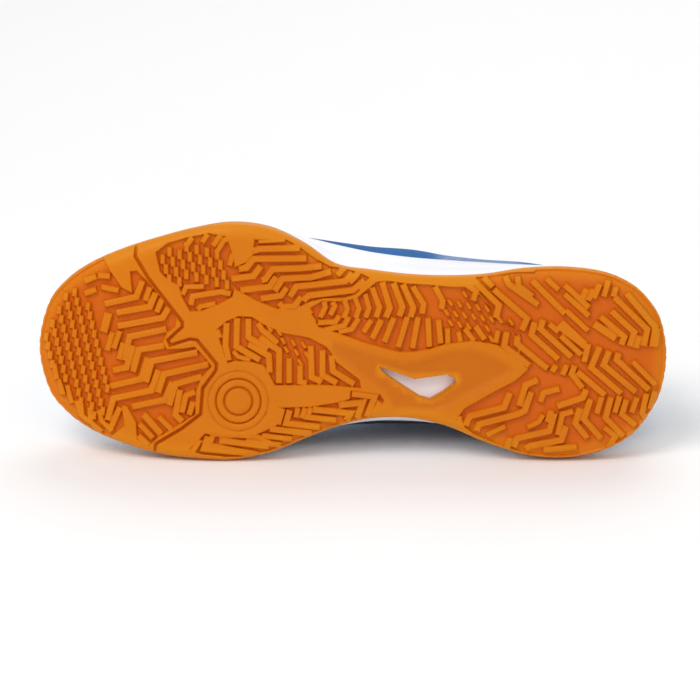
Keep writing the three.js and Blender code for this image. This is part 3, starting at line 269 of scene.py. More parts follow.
# Shorter lugs: width, then the path
SHORT_LUGS = [
    (2.0, [(284.6, -6), (283.4, -13)]), (2.0, [(282.6, -13.5), (280.4, -20)]),
    (2.0, [(278.6, -16), (276.4, -24)]), (2.0, [(274, -23), (272, -30)]),
    (2.5, [(188, 25.6), (178.6, 27), (176, 30.6)]), (2.5, [(136.6, 30.6), (133.2, 21.6), (134.8, 16.8)]),
    (2.5, [(117.8, 31), (112.8, 23), (113.6, 18.6)]), (2.5, [(107.6, 31), (104, 24.4), (104.6, 20.6)]),
    (2.5, [(136.6, 7), (132.4, 15.6)]), (2.5, [(131, 5.4), (126.6, 16.6)]),
    (2.5, [(124.6, 3), (120.4, 16.8)]), (2.5, [(118, 2.6), (115.4, 16.8)]),
    (2.5, [(110.2, 3.2), (110.8, 16.4)]), (2.5, [(105, 4.8), (106, 15.6)]),
    (2.5, [(84.6, 6.6), (88.8, 12.6)]), (2.5, [(189.4, 14), (187.4, 11), (180.4, 5)]),
    (2.5, [(175, -2.2), (175, -13.6)]), (2.5, [(170, -5.6), (170, -13), (167, -13.8)]),
    (2.5, [(69.4, 35.6), (69, 31.4), (62.6, 26.6)]), (2.5, [(47.6, 31.6), (36.6, 21.4)]),
    (2.5, [(36.6, 4.4), (38.6, -4)]), (2.5, [(43, -5.6), (44.4, -9.6), (39.4, -16)]),
    (2.5, [(37.6, 30), (40, 24.6)]), (2.5, [(31.6, 32), (34.4, 25.6)]), (2.5, [(57, -45), (42, -43.6)]),
    (2.5, [(58.8, -22.6), (57.4, -18.4), (50, -16.4)]), (2.5, [(19, -21.6), (21, -28.4), (14.6, -33.6)]),
    (2.4, [(270, 27.3), (264.5, 29.3)]), (2.4, [(262, 30.6), (254, 29)]),
    (2.4, [(270, 33), (264.5, 35.3)]), (2.4, [(263.5, 35.8), (258, 35.5)]),
    (2.4, [(241.6, 24.6), (239.4, 30.6)]), (2.4, [(236.2, 19.2), (233.8, 25.2)]),
    (3.6, [(261.2, 9.6), (258.8, 18.4)]), (2.4, [(259.6, 1), (257, 9.4)]),
    (2.4, [(256.4, 2), (253.6, 10)]), (2.4, [(252, 4.6), (254, -3)]),
    (2.4, [(258, -35), (253.8, -25.6)]), (2.4, [(218.6, -17.8), (222.8, -19.4), (224.8, -27.4)]),
    (2.4, [(219.6, -22.4), (221.4, -28.4)]), (3.0, [(242.6, -28.6), (234.6, -37.6)]),
    (2.4, [(235.6, -29.6), (229.6, -35.4)]), (2.4, [(244.6, -33), (238.4, -39.4)]),
    (2.4, [(245, -38.6), (240.4, -43)]), (2.0, [(263.5, -27), (262.5, -32), (257.5, -36.5)]),
    (2.0, [(268, -26), (267.5, -33), (262.5, -37)]), (2.0, [(272, -24), (271.5, -30), (268, -33)]),
    (2.0, [(224, 27.4), (222.6, 31), (214.4, 31.2)]),
    (2.4, [(220.4, 22.6), (219.6, 26.6), (206, 28.8), (202, 27.8)]),
    (2.0, [(217, 20.4), (216, 22), (209, 23.4)]), (2.2, [(208.6, 46.6), (205, 52.6), (202, 53.6)]),
    (2.2, [(202.4, 41), (201, 46.4)]), (2.2, [(222.6, 49.6), (219.6, 53.8)]),
    (2.2, [(215, 51.6), (212.4, 55.4)]), (2.2, [(210, 50), (206.5, 55)]),
    (2.4, [(179.6, 23.6), (178, 21.8), (172.6, 22), (169.4, 26.4)]),
    (1.6, [(189, 52), (177, 52.8)]), (2.4, [(152.6, 36.4), (149.6, 39.6)]),
    (2.4, [(147, 33), (143, 37.4)]), (2.4, [(142, 29.4), (135.6, 35.4)]),
    (2.2, [(158.8, 24), (158.2, 21.6), (160.6, 16.8)]), (2.2, [(155, 24), (153.8, 22), (156, 18)]),
    (2.2, [(149.4, 24.6), (148, 21), (149.6, 16.6)]), (2.2, [(144.6, 26), (142.6, 21), (144.2, 16.6)]),
    (2.2, [(139.8, 27.6), (138, 21.2), (139.6, 16.8)]), (2.2, [(161.6, 14.4), (153.6, 14.8), (151.8, 17.6)]),
    (2.2, [(158.6, 11), (149.6, 13), (147.4, 17)]), (2.2, [(152, 10.2), (146, 11.4), (142.8, 16.4)]),
    (2.2, [(140.6, 10), (137, 15.6)]), (2.2, [(101.6, 4.6), (101.8, 11.6)]),
    (2.2, [(95.8, 5.6), (96.8, 10)]), (2.2, [(89.4, 6), (93.8, 11.4)]), (2.2, [(79.6, 5), (78.4, 10.6)]),
    (2.4, [(208.5, 11), (207, 7.5)]), (1.8, [(200.8, 1), (198.6, -1.4), (193, -2.8)]),
    (2.4, [(133, -22.4), (136.6, -29)]), (2.4, [(168, -29.4), (153.4, -31)]),
    (3.0, [(178.4, -25.6), (180.4, -32.8)]), (2.2, [(171, -25.4), (172, -29.6)]),
    (2.2, [(167.6, -25.4), (169.4, -30)]), (2.2, [(165, -25.2), (166.6, -29.4)]),
    (2.2, [(187.6, -38.2), (174, -39.8)]), (2.2, [(195, -40.8), (179, -42.6)]),
    (2.4, [(216.6, -40.2), (220, -45.6)]), (2.2, [(210.6, -38.4), (212, -42.6), (190, -47)]),
    (1.6, [(224.6, -47.4), (206, -48.8)]),
    (2.4, [(92.6, 31.6), (88.6, 29), (90, 24.6)]), (2.4, [(85, 35), (81, 31)]),
    (2.4, [(56, 34.6), (50.6, 29.6)]), (2.4, [(54.6, 13.6), (50.6, 10)]),
    (2.4, [(51.6, -5.6), (53.4, -8.4)]), (2.4, [(46.6, -5.4), (48.6, -10)]),
    (2.4, [(96.6, -29.4), (95, -35)]), (2.0, [(83.6, -38), (75, -34)]),
    (2.4, [(72.6, -39.4), (74.4, -45)]), (2.0, [(64.6, -34.4), (59.6, -32), (57.4, -28.6)]),
    (2.4, [(55.6, -32), (53.6, -26.6)]), (2.4, [(50.6, -38), (48.6, -28.4), (43.6, -27)]),
    (2.4, [(30.4, -20.4), (32.6, -28)]), (2.4, [(22, -20), (24.3, -27.6)]),
    (2.4, [(14, -20.6), (16.4, -27.6)]), (2.4, [(9.6, -19), (11.6, -28), (9.6, -31)]),
    (2.2, [(5.6, -18), (8, -26)]), (2.4, [(29, -34.6), (24, -38.6), (27, -44)]),
    (2.4, [(16, -4), (5.6, -14.6)]), (2.4, [(34.4, 29.6), (36.8, 24.6)]),
    (2.4, [(27.6, 33.6), (29.6, 26.4)]), (2.4, [(24, 30.6), (25.4, 26.4)]),
    (3.4, [(34, 13.6), (24, 7)]), (2.4, [(13, 8), (14.6, 2.4)]), (2.4, [(4.6, 11), (5.6, 3)]),
    (2.4, [(47.6, 27.4), (36.6, 17.4)]), (2.4, [(47, 20), (37, 10.6)]),
    (2.4, [(49, 14.6), (38, 4.4)]), (2.4, [(49.4, 8), (40, -0.6)]),
]

# Fields of small studs: first stud, the two steps of the lattice, how a stud lies, its size, and
# the outline that the studs' middles stay in
STUD_FIELDS = [
    {
        "first": (267.5, 17.0), "step": (4.2, -2.1), "row": (-0.99, -4.24), "lean": (-0.45, 3.5),
        "width": 1.9, "length": 3.5,
        "inside": [
            (290, 0), (288.8, 8), (286, 16.5), (281.5, 24), (277, 29), (272, 27.5), (269.5, 24.5),
            (266.5, 18.5), (263.3, 4), (261.3, -4), (259.3, -13), (258.4, -18.5), (260, -27),
            (264, -32), (269, -30), (271.5, -24), (275, -21), (279, -16), (284, -8), (289, -6),
        ],
    },
    {
        "first": (219.2, 40.2), "step": (4.7, 1.2), "row": (-1.5, -4.65), "lean": (0, 1),
        "width": 1.9, "length": 4.1,
        "inside": [
            (236, 46), (234, 37), (229, 31.6), (222.5, 33), (213, 32.6), (206, 30.5), (202, 31),
            (203.6, 40), (206, 44), (210, 50), (220, 51), (232, 49),
        ],
    },
]

# Rows of leaning studs at the waist: first stud, step, how many
WAIST_STUDS = [
    ((100.5, 23.5), (-4.25, -0.7), 5), ((102.2, 19), (-4.15, -0.65), 6), ((100.4, 14.2), (-4.2, -0.8), 3),
    ((77.5, 15.5), (-5, -1), 2), ((93.8, 27.5), (0, 0), 1), ((83.4, 11.6), (-1.8, -4.8), 2),
    ((183.9, 11.5), (-4.4, -1.7), 2), ((177.8, 6), (-4.75, -1), 3), ((176.3, 1.8), (-4.7, -1.2), 3),
    ((170, 21), (-4.7, -1), 2), ((168.8, 17), (-5, -1), 2), ((170, -4), (0, 0), 1),
]
WAIST_STUD_LEAN = (-2.0, -3.0)
WAIST_STUD_WIDTH = 1.3
WAIST_STUD_LENGTH = 3.0

# The standing shoe's axes and origin in the frame, from the mount in the middle of the pivot disc
MOUNT = frame["record"]["mounts"][0]
UP = -np.array(MOUNT["axis"], float)
UP /= np.linalg.norm(UP)
FORWARD = np.cross(UP, (0.0, 1.0, 0.0))
FORWARD *= -np.sign(FORWARD[0]) / np.linalg.norm(FORWARD)
OUTWARD = np.cross(UP, FORWARD)
ORIGIN = np.array(MOUNT["pos_m"]) - (PIVOT_CENTRE[0] * FORWARD + PIVOT_CENTRE[1] * OUTWARD) * MM


def placed(points):
    """Points of the standing shoe, in millimetres, as points of the frame, in metres."""
    p = np.asarray(points, float) * MM
    return ORIGIN + p[..., :1] * FORWARD + p[..., 1:2] * OUTWARD + p[..., 2:3] * UP


def smooth(low, high, x):
    t = np.clip((np.asarray(x, float) - low) / (high - low), 0, 1)
    return t * t * (3 - 2 * t)


def unit(v):
    return v / np.linalg.norm(v, axis=-1, keepdims=True)


def linear(red, green, blue):
    """A display colour, 0 to 255, as scene-linear values."""
    share = np.array((red, green, blue)) / 255
    return tuple(float(c) for c in np.where(share < 0.04045, share / 12.92, ((share + 0.055) / 1.055) ** 2.4))


# The last: curves round the sole and ribs of the upper

def ring_values(rows, out, inner):
    return np.array([rows[k][out] if k <= LAST_ROW else rows[RING - k][inner] for k in range(RING)])


def column(rows, index):
    return ring_values(rows, index, index)


def on_ring(values, u):
    u = np.asarray(u, float)
    cell = np.floor(u).astype(int)
    f = u - cell
    a, b, c, d = (values[(cell + k) % RING] for k in (-1, 0, 1, 2))
    return 0.5 * (2 * b + (c - a) * f + (2 * a - 5 * b + 4 * c - d) * f * f + (3 * b - a - 3 * c + d) * f**3)


WALL_SPAN = SOLE_LENGTH - HEEL_WALL_INSET - TOE_WALL_INSET
SOLE_OF = column(SOLE, 1)
GUM_X = column(SOLE, 0) * SOLE_LENGTH
GUM_Y = ring_values(SOLE, 2, 3) * SOLE_OF
WALL_X = HEEL_WALL_INSET + column(SOLE, 0) * WALL_SPAN
WALL_Y = ring_values(SOLE, 4, 5) * SOLE_OF
WALL_UP = column(SOLE, 6) * WALL_RISE
LIP_UP = ring_values(SOLE, 7, 8) * LIP_HEIGHT
TOP_X = column(UPPER, 0) * SOLE_LENGTH
TOP_Z = column(UPPER, 1) * column(UPPER, 2)
TOP_Y = ring_values(UPPER, 3, 4) * column(UPPER, 5)
LEAN = np.radians(column(UPPER, 6))
FLARE = ring_values(UPPER, 7, 8)
RISE = column(UPPER, 9)
SHOULDER = column(UPPER, 10)


def row_of(u):
    """Row of the tables at a ring place: it runs from the heel by the outer side to the toe and back."""
    return LAST_ROW - np.abs(np.mod(u, RING) - LAST_ROW)


def ground_at(x):
    """Height of the sole's ground side, which rises at the toe and the heel."""
    toe = np.maximum(0, (x / SOLE_LENGTH - TOE_SPRING_START) / (1 - TOE_SPRING_START))
    heel = np.maximum(0, 1 - x / SOLE_LENGTH / HEEL_ROCKER_END)
    return TOE_SPRING * toe**2 + HEEL_ROCKER * heel**2


def footbed_at(x):
    """Height of the footbed inside the upper."""
    share = x / SOLE_LENGTH
    stack = HEEL_STACK + (FOREFOOT_STACK - HEEL_STACK) * smooth(0.22, 0.7, share)
    return stack + 0.85 * np.where(share > 0.5, ground_at(x), ground_at(SOLE_LENGTH / 2))


def plan_point(xs, ys, u, inset):
    """Points of a closed curve in the plane, moved inwards by inset."""
    step = 0.05
    along = unit(np.stack([on_ring(v, u + step) - on_ring(v, u - step) for v in (xs, ys)], -1))
    inward = np.stack([along[..., 1], -along[..., 0]], -1)
    return np.stack([on_ring(xs, u), on_ring(ys, u)], -1) + inward * np.asarray(inset, float)[..., None]


def raised(plan, z):
    return np.concatenate([plan, np.broadcast_to(z, plan.shape[:-1])[..., None]], -1)


def rib_ends(u):
    """Foot and top of the ribs at ring places u, and the way out of the sole there."""
    foot = plan_point(WALL_X, WALL_Y, u, TUCK)
    out = plan_point(WALL_X, WALL_Y, u, TUCK - 1) - foot
    low = raised(foot, footbed_at(foot[..., 0]))

    def edge(x):
        return np.stack([on_ring(values, x) for values in (TOP_X, TOP_Y, TOP_Z)], -1)

    ridge = (row_of(u) >= RIDGE_START)[..., None]
    return low, np.where(ridge, (edge(u) + edge(RING - u)) / 2, edge(u)), out


def upper_base(u, v):
    """Points of the last: each rib is a curve from the foot, v 0, to the top edge, v 1."""
    low, high, out = rib_ends(u)
    v = np.asarray(v, float)[..., None]
    reach = np.linalg.norm(high - low, axis=-1, keepdims=True)
    flare, lean = on_ring(FLARE, u)[..., None], on_ring(LEAN, u)[..., None]
    lift, bend = reach * on_ring(RISE, u)[..., None], reach * on_ring(SHOULDER, u)[..., None]
    low_handle = low + np.concatenate([out * flare, np.ones_like(flare)], -1) * lift
    high_handle = high + np.concatenate([out * np.cos(lean), -np.sin(lean)], -1) * bend
    w = 1 - v
    return low * w**3 + low_handle * 3 * w * w * v + high_handle * 3 * w * v * v + high * v**3


# Share of a rib where its side of the ridge is measured, as both sides meet at 1
RIDGE_SIDE = 0.98


def upper_normal(u, v):
    step = 0.02
    u, v = np.broadcast_arrays(np.asarray(u, float), np.asarray(v, float))
    v = np.where(row_of(u) >= RIDGE_START, np.minimum(v, RIDGE_SIDE), v)
    along_ring = upper_base(u + step, v) - upper_base(u - step, v)
    along_rib = upper_base(u, np.minimum(1, v + step)) - upper_base(u, np.maximum(0, v - step))
    return unit(np.cross(along_rib, along_ring))


def upper_point(u, v, off):
    u, v, off = np.broadcast_arrays(*(np.asarray(a, float) for a in (u, v, off)))
    normal = upper_normal(u, v)
    shared = ((v > 0.999) & (row_of(u) >= RIDGE_START))[..., None]
    normal = np.where(shared, unit(normal + upper_normal(RING - u, v)), normal)
    return upper_base(u, v) + normal * off[..., None]


# The collar's padding: shares of a rib where it starts and is full, and its loss at the edge
PAD_START, PAD_FULL = 0.5, 0.82
PAD_EDGE_START, PAD_EDGE_LOSS = 0.9, 0.45


def wall_thickness(u, v):
    collar = 1 - smooth(THROAT_TOP - 2, THROAT_TOP + 1, row_of(u))
    padding = COLLAR_PADDING * collar * smooth(PAD_START, PAD_FULL, v)
    return UPPER_WALL + padding * (1 - PAD_EDGE_LOSS * smooth(PAD_EDGE_START, 1, v))


def rib_share_at(u, z):
    """Share of each rib at which it reaches the height z."""
    low, high = np.zeros_like(u, float), np.ones_like(u, float)
    for _ in range(24):
        middle = (low + high) / 2
        below = upper_base(u, middle)[..., 2] < z
        low, high = np.where(below, middle, low), np.where(below, high, middle)
    return low


def eyelet_point(u, off):
    low, high, _ = rib_ends(u)
    return upper_point(u, 1 - EYELET_INSET / np.linalg.norm(high - low, axis=-1), off)


# Meshes

MERGE_DISTANCE = 2e-6
# Millimetres to one unit of a surface map
MAP_UNIT = 10


def mesh_object(
        name, points, faces, materials, corners=None, face_materials=None, attributes=None, sharp=None):
    """A mesh piece from points in millimetres, with the faces turned outwards."""
    mesh = bpy.data.meshes.new(name)
    mesh.from_pydata([tuple(p) for p in placed(points)], [], [tuple(f) for f in faces])
    for material in materials:
        mesh.materials.append(material)
    if face_materials is not None:
        mesh.polygons.foreach_set("material_index", np.asarray(face_materials, np.int32))
    if corners is not None:
        layer = mesh.uv_layers.new(name="surface")
        layer.data.foreach_set("uv", np.asarray(corners, np.float32).ravel())
    for key, values in (attributes or {}).items():
        layer = mesh.attributes.new(key, "FLOAT", "POINT")
        layer.data.foreach_set("value", np.asarray(values, np.float32))
    form = bmesh.new()
    form.from_mesh(mesh)
    bmesh.ops.remove_doubles(form, verts=form.verts, dist=MERGE_DISTANCE)
    loose = [v for v in form.verts if not v.link_faces]
    bmesh.ops.delete(form, geom=loose, context="VERTS")
    if form.calc_volume(signed=True) < 0:
        bmesh.ops.reverse_faces(form, faces=form.faces)
    form.to_mesh(mesh)
    form.free()
    mesh.shade_smooth()
    if sharp is not None:
        mesh.set_sharp_from_angle(angle=math.radians(sharp))
    piece = bpy.data.objects.new(name, mesh)
    bpy.context.scene.collection.objects.link(piece)
    return piece


def plain_mesh(piece):
    """Turns a piece and its modifiers into a plain mesh."""
    bpy.context.view_layer.update()
    shape = piece.evaluated_get(bpy.context.evaluated_depsgraph_get())
    mesh = bpy.data.meshes.new_from_object(shape)
    piece.modifiers.clear()
    piece.data = mesh
    return piece


def finished(piece, slot, *nodes):
    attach(piece, "root")
    if nodes:
        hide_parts(*nodes)
    return piece


def grid_faces(rows, columns, wrap_rows=False, wrap_columns=False):
    """Faces of a grid of points, as indices, row by row."""
    i = np.arange(rows if wrap_rows else rows - 1)
    k = np.arange(columns if wrap_columns else columns - 1)
    i, k = (a.ravel() for a in np.meshgrid(i, k, indexing="ij"))
    j, m = (i + 1) % rows, (k + 1) % columns
    return np.stack([i * columns + k, i * columns + m, j * columns + m, j * columns + k], -1)


def rung_faces(base, count):
    """Closes a loop that is even about its two ends by rungs from side to side."""
    faces = []
    for i in range(count // 2):
        four = [base + i, base + i + 1, base + (count - i - 1) % count, base + (count - i) % count]
        faces.append(list(dict.fromkeys(four)))
    return faces


def stacked(loops):
    """A closed body from loops of points, one above the other."""
    rows, count = len(loops), len(loops[0])
    faces = grid_faces(rows, count, wrap_columns=True).tolist()
    faces += [f[::-1] for f in rung_faces(0, count)] + rung_faces((rows - 1) * count, count)
    return np.concatenate(loops), faces


def run_of(points):
    """Distance of each point of a line from its start, along the line."""
    return np.concatenate([[0], np.cumsum(np.linalg.norm(np.diff(points, axis=0), axis=1))])


def closed_strips(strips):
    """A closed body from loops that each go round a flat strip, with both its ends filled."""
    rows, columns = strips.shape[:2]
    faces = grid_faces(rows, columns, wrap_columns=True).tolist()
    for base, turn in ((0, -1), ((rows - 1) * columns, 1)):
        for k in range(columns // 2 - 1):
            four = [base + k, base + k + 1, base + columns - 2 - k, base + columns - 1 - k]
            faces.append(four[::turn])
    return strips.reshape(-1, 3), faces


def flat_map(points, faces, axes):
    """Surface map of a piece that is laid out flat along two axes."""
    flat = points[:, axes] / MAP_UNIT
    return np.concatenate([flat[list(f)] for f in faces])


def grid_map(along, across, i, k):
    """Surface map of the faces of a grid, from the distances along and across it."""
    ends = ((i, k), (i, k + 1), (i + 1, k + 1), (i + 1, k))
    return np.stack([np.stack([along[a], across[b]], -1) for a, b in ends], 1) / MAP_UNIT


RING_STEPS = 420
RING_U = np.arange(RING_STEPS) * RING / RING_STEPS


def gum_loop(inset, rise, u=RING_U):
    plan = plan_point(GUM_X, GUM_Y, u, inset)
    return raised(plan, ground_at(plan[..., 0]) + rise)


# The tread: distances to lugs, grooves and pockets give each point of the sole its depth

def polygon_inside(points, outline):
    """Distance of each point from a closed outline, positive inside it."""
    a = np.asarray(outline, float)
    b = np.roll(a, -1, axis=0)
    nearest = np.full(len(points), np.inf)
    crossings = np.zeros(len(points), int)
    x, y = points[:, 0], points[:, 1]
    for (ax, ay), (bx, by) in zip(a, b):
        dx, dy = bx - ax, by - ay
        t = np.clip(((x - ax) * dx + (y - ay) * dy) / (dx * dx + dy * dy + 1e-12), 0, 1)
        nearest = np.minimum(nearest, np.hypot(x - ax - t * dx, y - ay - t * dy))
        spans = (ay > y) != (by > y)
        at = ax + (y - ay) * dx / (dy if dy else 1e-12)
        crossings += spans & (x < at)
    return np.where(crossings % 2 == 1, nearest, -nearest)


def bar_directions(path):
    steps = unit(np.diff(path, axis=0))
    mitres = unit(steps[:-1] + steps[1:]) if len(steps) > 1 else np.zeros((0, 2))
    return steps, mitres


def bar_inside(points, path, width):
    """Distance of each point from a bar with mitred bends, positive inside it."""
    path = np.asarray(path, float)
    steps, mitres = bar_directions(path)
    best = np.full(len(points), -np.inf)
    for k, step in enumerate(steps):
        start, end = points - path[k], points - path[k + 1]
        inside = width / 2 - np.abs(start @ (-step[1], step[0]))
        mask = np.ones(len(points), bool)
        if k == 0:
            inside = np.minimum(inside, start @ step)
        else:
            mask &= start @ mitres[k - 1] >= -1e-6
        if k == len(steps) - 1:
            inside = np.minimum(inside, -(end @ step))
        else:
            mask &= end @ mitres[k] <= 1e-6
        best = np.where(mask, np.maximum(best, inside), best)
    return best


def bar_outline(path, width, grow):
    """Outline of a bar, moved outwards by grow."""
    path = np.asarray(path, float)
    steps, mitres = bar_directions(path)
    half = width / 2 + grow
    left, right = [], []
    for i, p in enumerate(path):
        if i == 0:
            centre, across, reach = p - steps[0] * grow, (-steps[0][1], steps[0][0]), half
        elif i == len(path) - 1:
            centre, across, reach = p + steps[-1] * grow, (-steps[-1][1], steps[-1][0]), half
        else:
            m = mitres[i - 1]
            centre, across, reach = p, (-m[1], m[0]), half / max(0.4, float(m @ steps[i]))
        left.append(centre + np.array(across) * reach)
        right.append(centre - np.array(across) * reach)
    return np.array(left + right[::-1])


def moved_outline(outline, inset):
    """A closed outline moved inwards, with mitred corners."""
    a = np.asarray(outline, float)
    area = np.sum(a[:, 0] * np.roll(a[:, 1], -1) - np.roll(a[:, 0], -1) * a[:, 1])
    before, after = unit(a - np.roll(a, 1, axis=0)), unit(np.roll(a, -1, axis=0) - a)
    m = unit(before + after)
    inward = np.stack([-m[:, 1], m[:, 0]], -1) * np.sign(area)
    return a + inward * (inset / np.maximum(0.45, np.sum(m * after, axis=1)))[:, None]


CIRCLE_POINTS = 48


def circle(centre, radius):
    angle = np.arange(CIRCLE_POINTS) * 2 * math.pi / CIRCLE_POINTS
    return np.asarray(centre) + radius * np.stack([np.cos(angle), np.sin(angle)], -1)


def stud_bar(centre, along, length, width):
    half = unit(np.asarray(along, float)) * length / 2
    return width, [np.asarray(centre) - half, np.asarray(centre) + half]


# Steps of a stud field's lattice that are tried each way
FIELD_REACH = 12


def all_lugs(lug_width):
    """Every lug and stud, as its width and the path of its middle."""
    lugs = [(lug_width, path) for path in MAIN_LUGS] + SHORT_LUGS
    reach = np.arange(-FIELD_REACH, FIELD_REACH + 1)
    for field in STUD_FIELDS:
        i, j = (a.ravel()[:, None] for a in np.meshgrid(reach, reach))
        centres = np.array(field["first"]) + i * np.array(field["step"]) + j * np.array(field["row"])
        for centre in centres[polygon_inside(centres, field["inside"]) > 0]:
            lugs.append(stud_bar(centre, field["lean"], field["length"], field["width"]))
    for first, step, count in WAIST_STUDS:
        for k in range(count):
            centre = np.array(first) + k * np.array(step)
            lugs.append(stud_bar(centre, WAIST_STUD_LEAN, WAIST_STUD_LENGTH, WAIST_STUD_WIDTH))
    return lugs


FLEX_WIDTH = 1.7
# Depth of the pivot grooves, as a share of the pockets'
PIVOT_SHARE = 0.6
SHANK_SLOPE = 4.0
# A lug's side: share of the depth at its top edge, on its eased corner and at its foot
SIDE_DEPTHS = (0.0, 0.14, 1.0)
CORNER_SHARE = 0.35


class Tread:
    """Depth of the moulded tread at any point of the sole."""

    def __init__(self, depth, lug_width, draft, corner):
        self.depth = depth
        self.levels = (-corner, CORNER_SHARE * corner, draft)
        self.lugs = all_lugs(lug_width)

    def profile(self, inside):
        return np.interp(inside, self.levels, SIDE_DEPTHS)

    def depth_at(self, points):
        """Depth below the ground side, lug share (1 on top, 0 on a groove's floor) and shank share."""
        solid = np.zeros(len(points))
        for width, path in self.lugs:
            solid = np.maximum(solid, 1 - self.profile(-bar_inside(points, path, width)))
        pocket = np.zeros(len(points))
        for outline in TREAD_ZONES.values():
            pocket = np.maximum(pocket, self.profile(polygon_inside(points, outline)))
        cut = np.minimum(pocket, 1 - solid)
        cut = np.maximum(cut, self.profile(bar_inside(points, FLEX_GROOVE, FLEX_WIDTH)))
        radius = np.hypot(*(points - PIVOT_CENTRE).T)
        for inner, outer in PIVOT_GROOVES:
            ring = np.minimum(radius - inner, outer - radius)
            cut = np.maximum(cut, PIVOT_SHARE * self.profile(ring))
        shank = smooth(0, SHANK_SLOPE, polygon_inside(points, SHANK))
        return np.maximum(cut * self.depth, shank * SHANK_DEPTH), 1 - cut, shank

    def outlines(self):
        """Lines that the tread's mesh follows: the top edge and the foot of each lug and pocket."""
        for level in self.levels:
            for width, path in self.lugs:
                yield bar_outline(path, width, level)
            for outline in TREAD_ZONES.values():
                yield moved_outline(outline, level)
            yield bar_outline(FLEX_GROOVE, FLEX_WIDTH, -level)
            for inner, outer in PIVOT_GROOVES:
                yield circle(PIVOT_CENTRE, inner + level)
                yield circle(PIVOT_CENTRE, outer - level)
        for share in (0.0, 0.5, 1.0):
            yield moved_outline(SHANK, share * SHANK_SLOPE)


def edge_rise(inset):
    """Rise of the rounded edge of the sole, by distance from its outline."""
    left = np.clip(EDGE_ROUND - inset, 0, EDGE_ROUND)
    return EDGE_ROUND - np.sqrt(EDGE_ROUND**2 - left**2)


# Round the sole's edge the mesh is finer than round the upper
EDGE_STEPS = 1200
EDGE_U = np.arange(EDGE_STEPS) * RING / EDGE_STEPS


NOTCH_PITCH = 5.2
NOTCH_DEPTH = 0.75


def edge_notches():
    """Grooves that run over the edge of the sole round the toe and the heel, in millimetres."""
    edge = plan_point(GUM_X, GUM_Y, EDGE_U, 0.0)
    run = run_of(edge)
    wave = 0.5 + 0.5 * np.cos(2 * math.pi * run / NOTCH_PITCH)
    row = row_of(EDGE_U)
    where = smooth(16.2, 17.4, row) + (1 - smooth(3.6, 5.2, row))
    return NOTCH_DEPTH * smooth(0.62, 0.86, wave) * where


def gum_outline(inset):
    return plan_point(GUM_X, GUM_Y, EDGE_U, inset)


def edge_loop(inset, rise, notch=0.0):
    """A loop round the sole; notch is the share of the edge's grooves that it follows."""
    plan = plan_point(GUM_X, GUM_Y, EDGE_U, inset + notch * EDGE_NOTCHES)
    return raised(plan, ground_at(plan[..., 0]) + rise)


EDGE_NOTCHES = edge_notches()


def triangulated(loops, extra):
    """Triangles between closed loops of points in the plane."""
    points, edges = [], []
    for loop in loops:
        base = len(points)
        points += [Vector(p) for p in np.asarray(loop).tolist()]
        edges += [(base + i, base + (i + 1) % len(loop)) for i in range(len(loop))]
    points += [Vector(p) for p in np.asarray(extra).tolist()]
    found, _, faces, *_ = delaunay_2d_cdt(points, edges, [], 0, 1e-4)
    return np.array([tuple(p) for p in found]), np.array(faces)


def kept_faces(points, faces, outline, hole):
    """The faces inside the outline and outside the hole."""
    middle = points[faces].mean(axis=1)
    return faces[(polygon_inside(middle, outline) > 0) & (polygon_inside(middle, hole) < 0)]


# Distances in from the sole's outline of the loops that the mesh follows, the first is the rim
RIM_INSET = 0.35
RIM_LOOPS = (RIM_INSET, 0.9, 1.8, 3.2, 5.0, 7.0)
FILL_SPACING = 4.0
# The tread runs out between these distances from the outline
TREAD_FADE = (0.5, 2.2)
# Painted highlight on the thin gum: lighter, yellower colour near the outline and round the window, where the
# edges catch the light; how far in from the outline and how far round the window it goes
RIM_REACH, RIM_STRONGEST, RIM_SHARE = 9, 1, 0.5
WINDOW_RIM = 2.4


def ground_part(tread):
    """The ground side with its tread, with lug, shank and rim shares of its points; the colour paints shade
    on the pockets' floors by the lug share and a highlight on the edges by the rim share.
    """
    loops = [gum_outline(inset) for inset in RIM_LOOPS]
    rim, window = loops[0], np.array(WINDOW, float)
    xs, ys = np.meshgrid(np.arange(4, 290, FILL_SPACING), np.arange(-52, 62, FILL_SPACING))
    fill = np.stack([(xs + FILL_SPACING / 2 * (ys / FILL_SPACING % 2)).ravel(), ys.ravel()], -1)
    fill = fill[polygon_inside(fill, rim) > 1]
    plan, faces = triangulated(loops + [window] + list(tread.outlines()), fill)
    faces = kept_faces(plan, faces, rim, window)
    inset = polygon_inside(plan, gum_outline(0.0))
    depth, lug, shank = tread.depth_at(plan)
    depth *= smooth(*TREAD_FADE, inset)
    ground = raised(plan, ground_at(plan[:, 0]) + edge_rise(inset) + depth)
    # Rim share: painted highlight, strongest at the outline and round the window's edge
    thin_and_lit = smooth(RIM_REACH, RIM_STRONGEST, inset) * RIM_SHARE
    thin_and_lit = thin_and_lit + smooth(-WINDOW_RIM, 0, polygon_inside(plan, window))
    return ground, faces[:, ::-1], lug, shank, thin_and_lit


# Side of the rubber above its rounded edge: share of the height, distance cut in from the outline
SIDE_PROFILE = (
    (0.06, 0.0), (0.34, 0.0), (0.40, 0.45), (0.48, 0.45), (0.54, 0.0), (0.9, 0.08), (1.0, 0.4),
)
# A loop on the rounded edge, between the ground side and the side: distance in, rise, notch share
EDGE_LOOP = (0.06, EDGE_ROUND * 0.82, 0.6)
LIP_CREST = 0.35


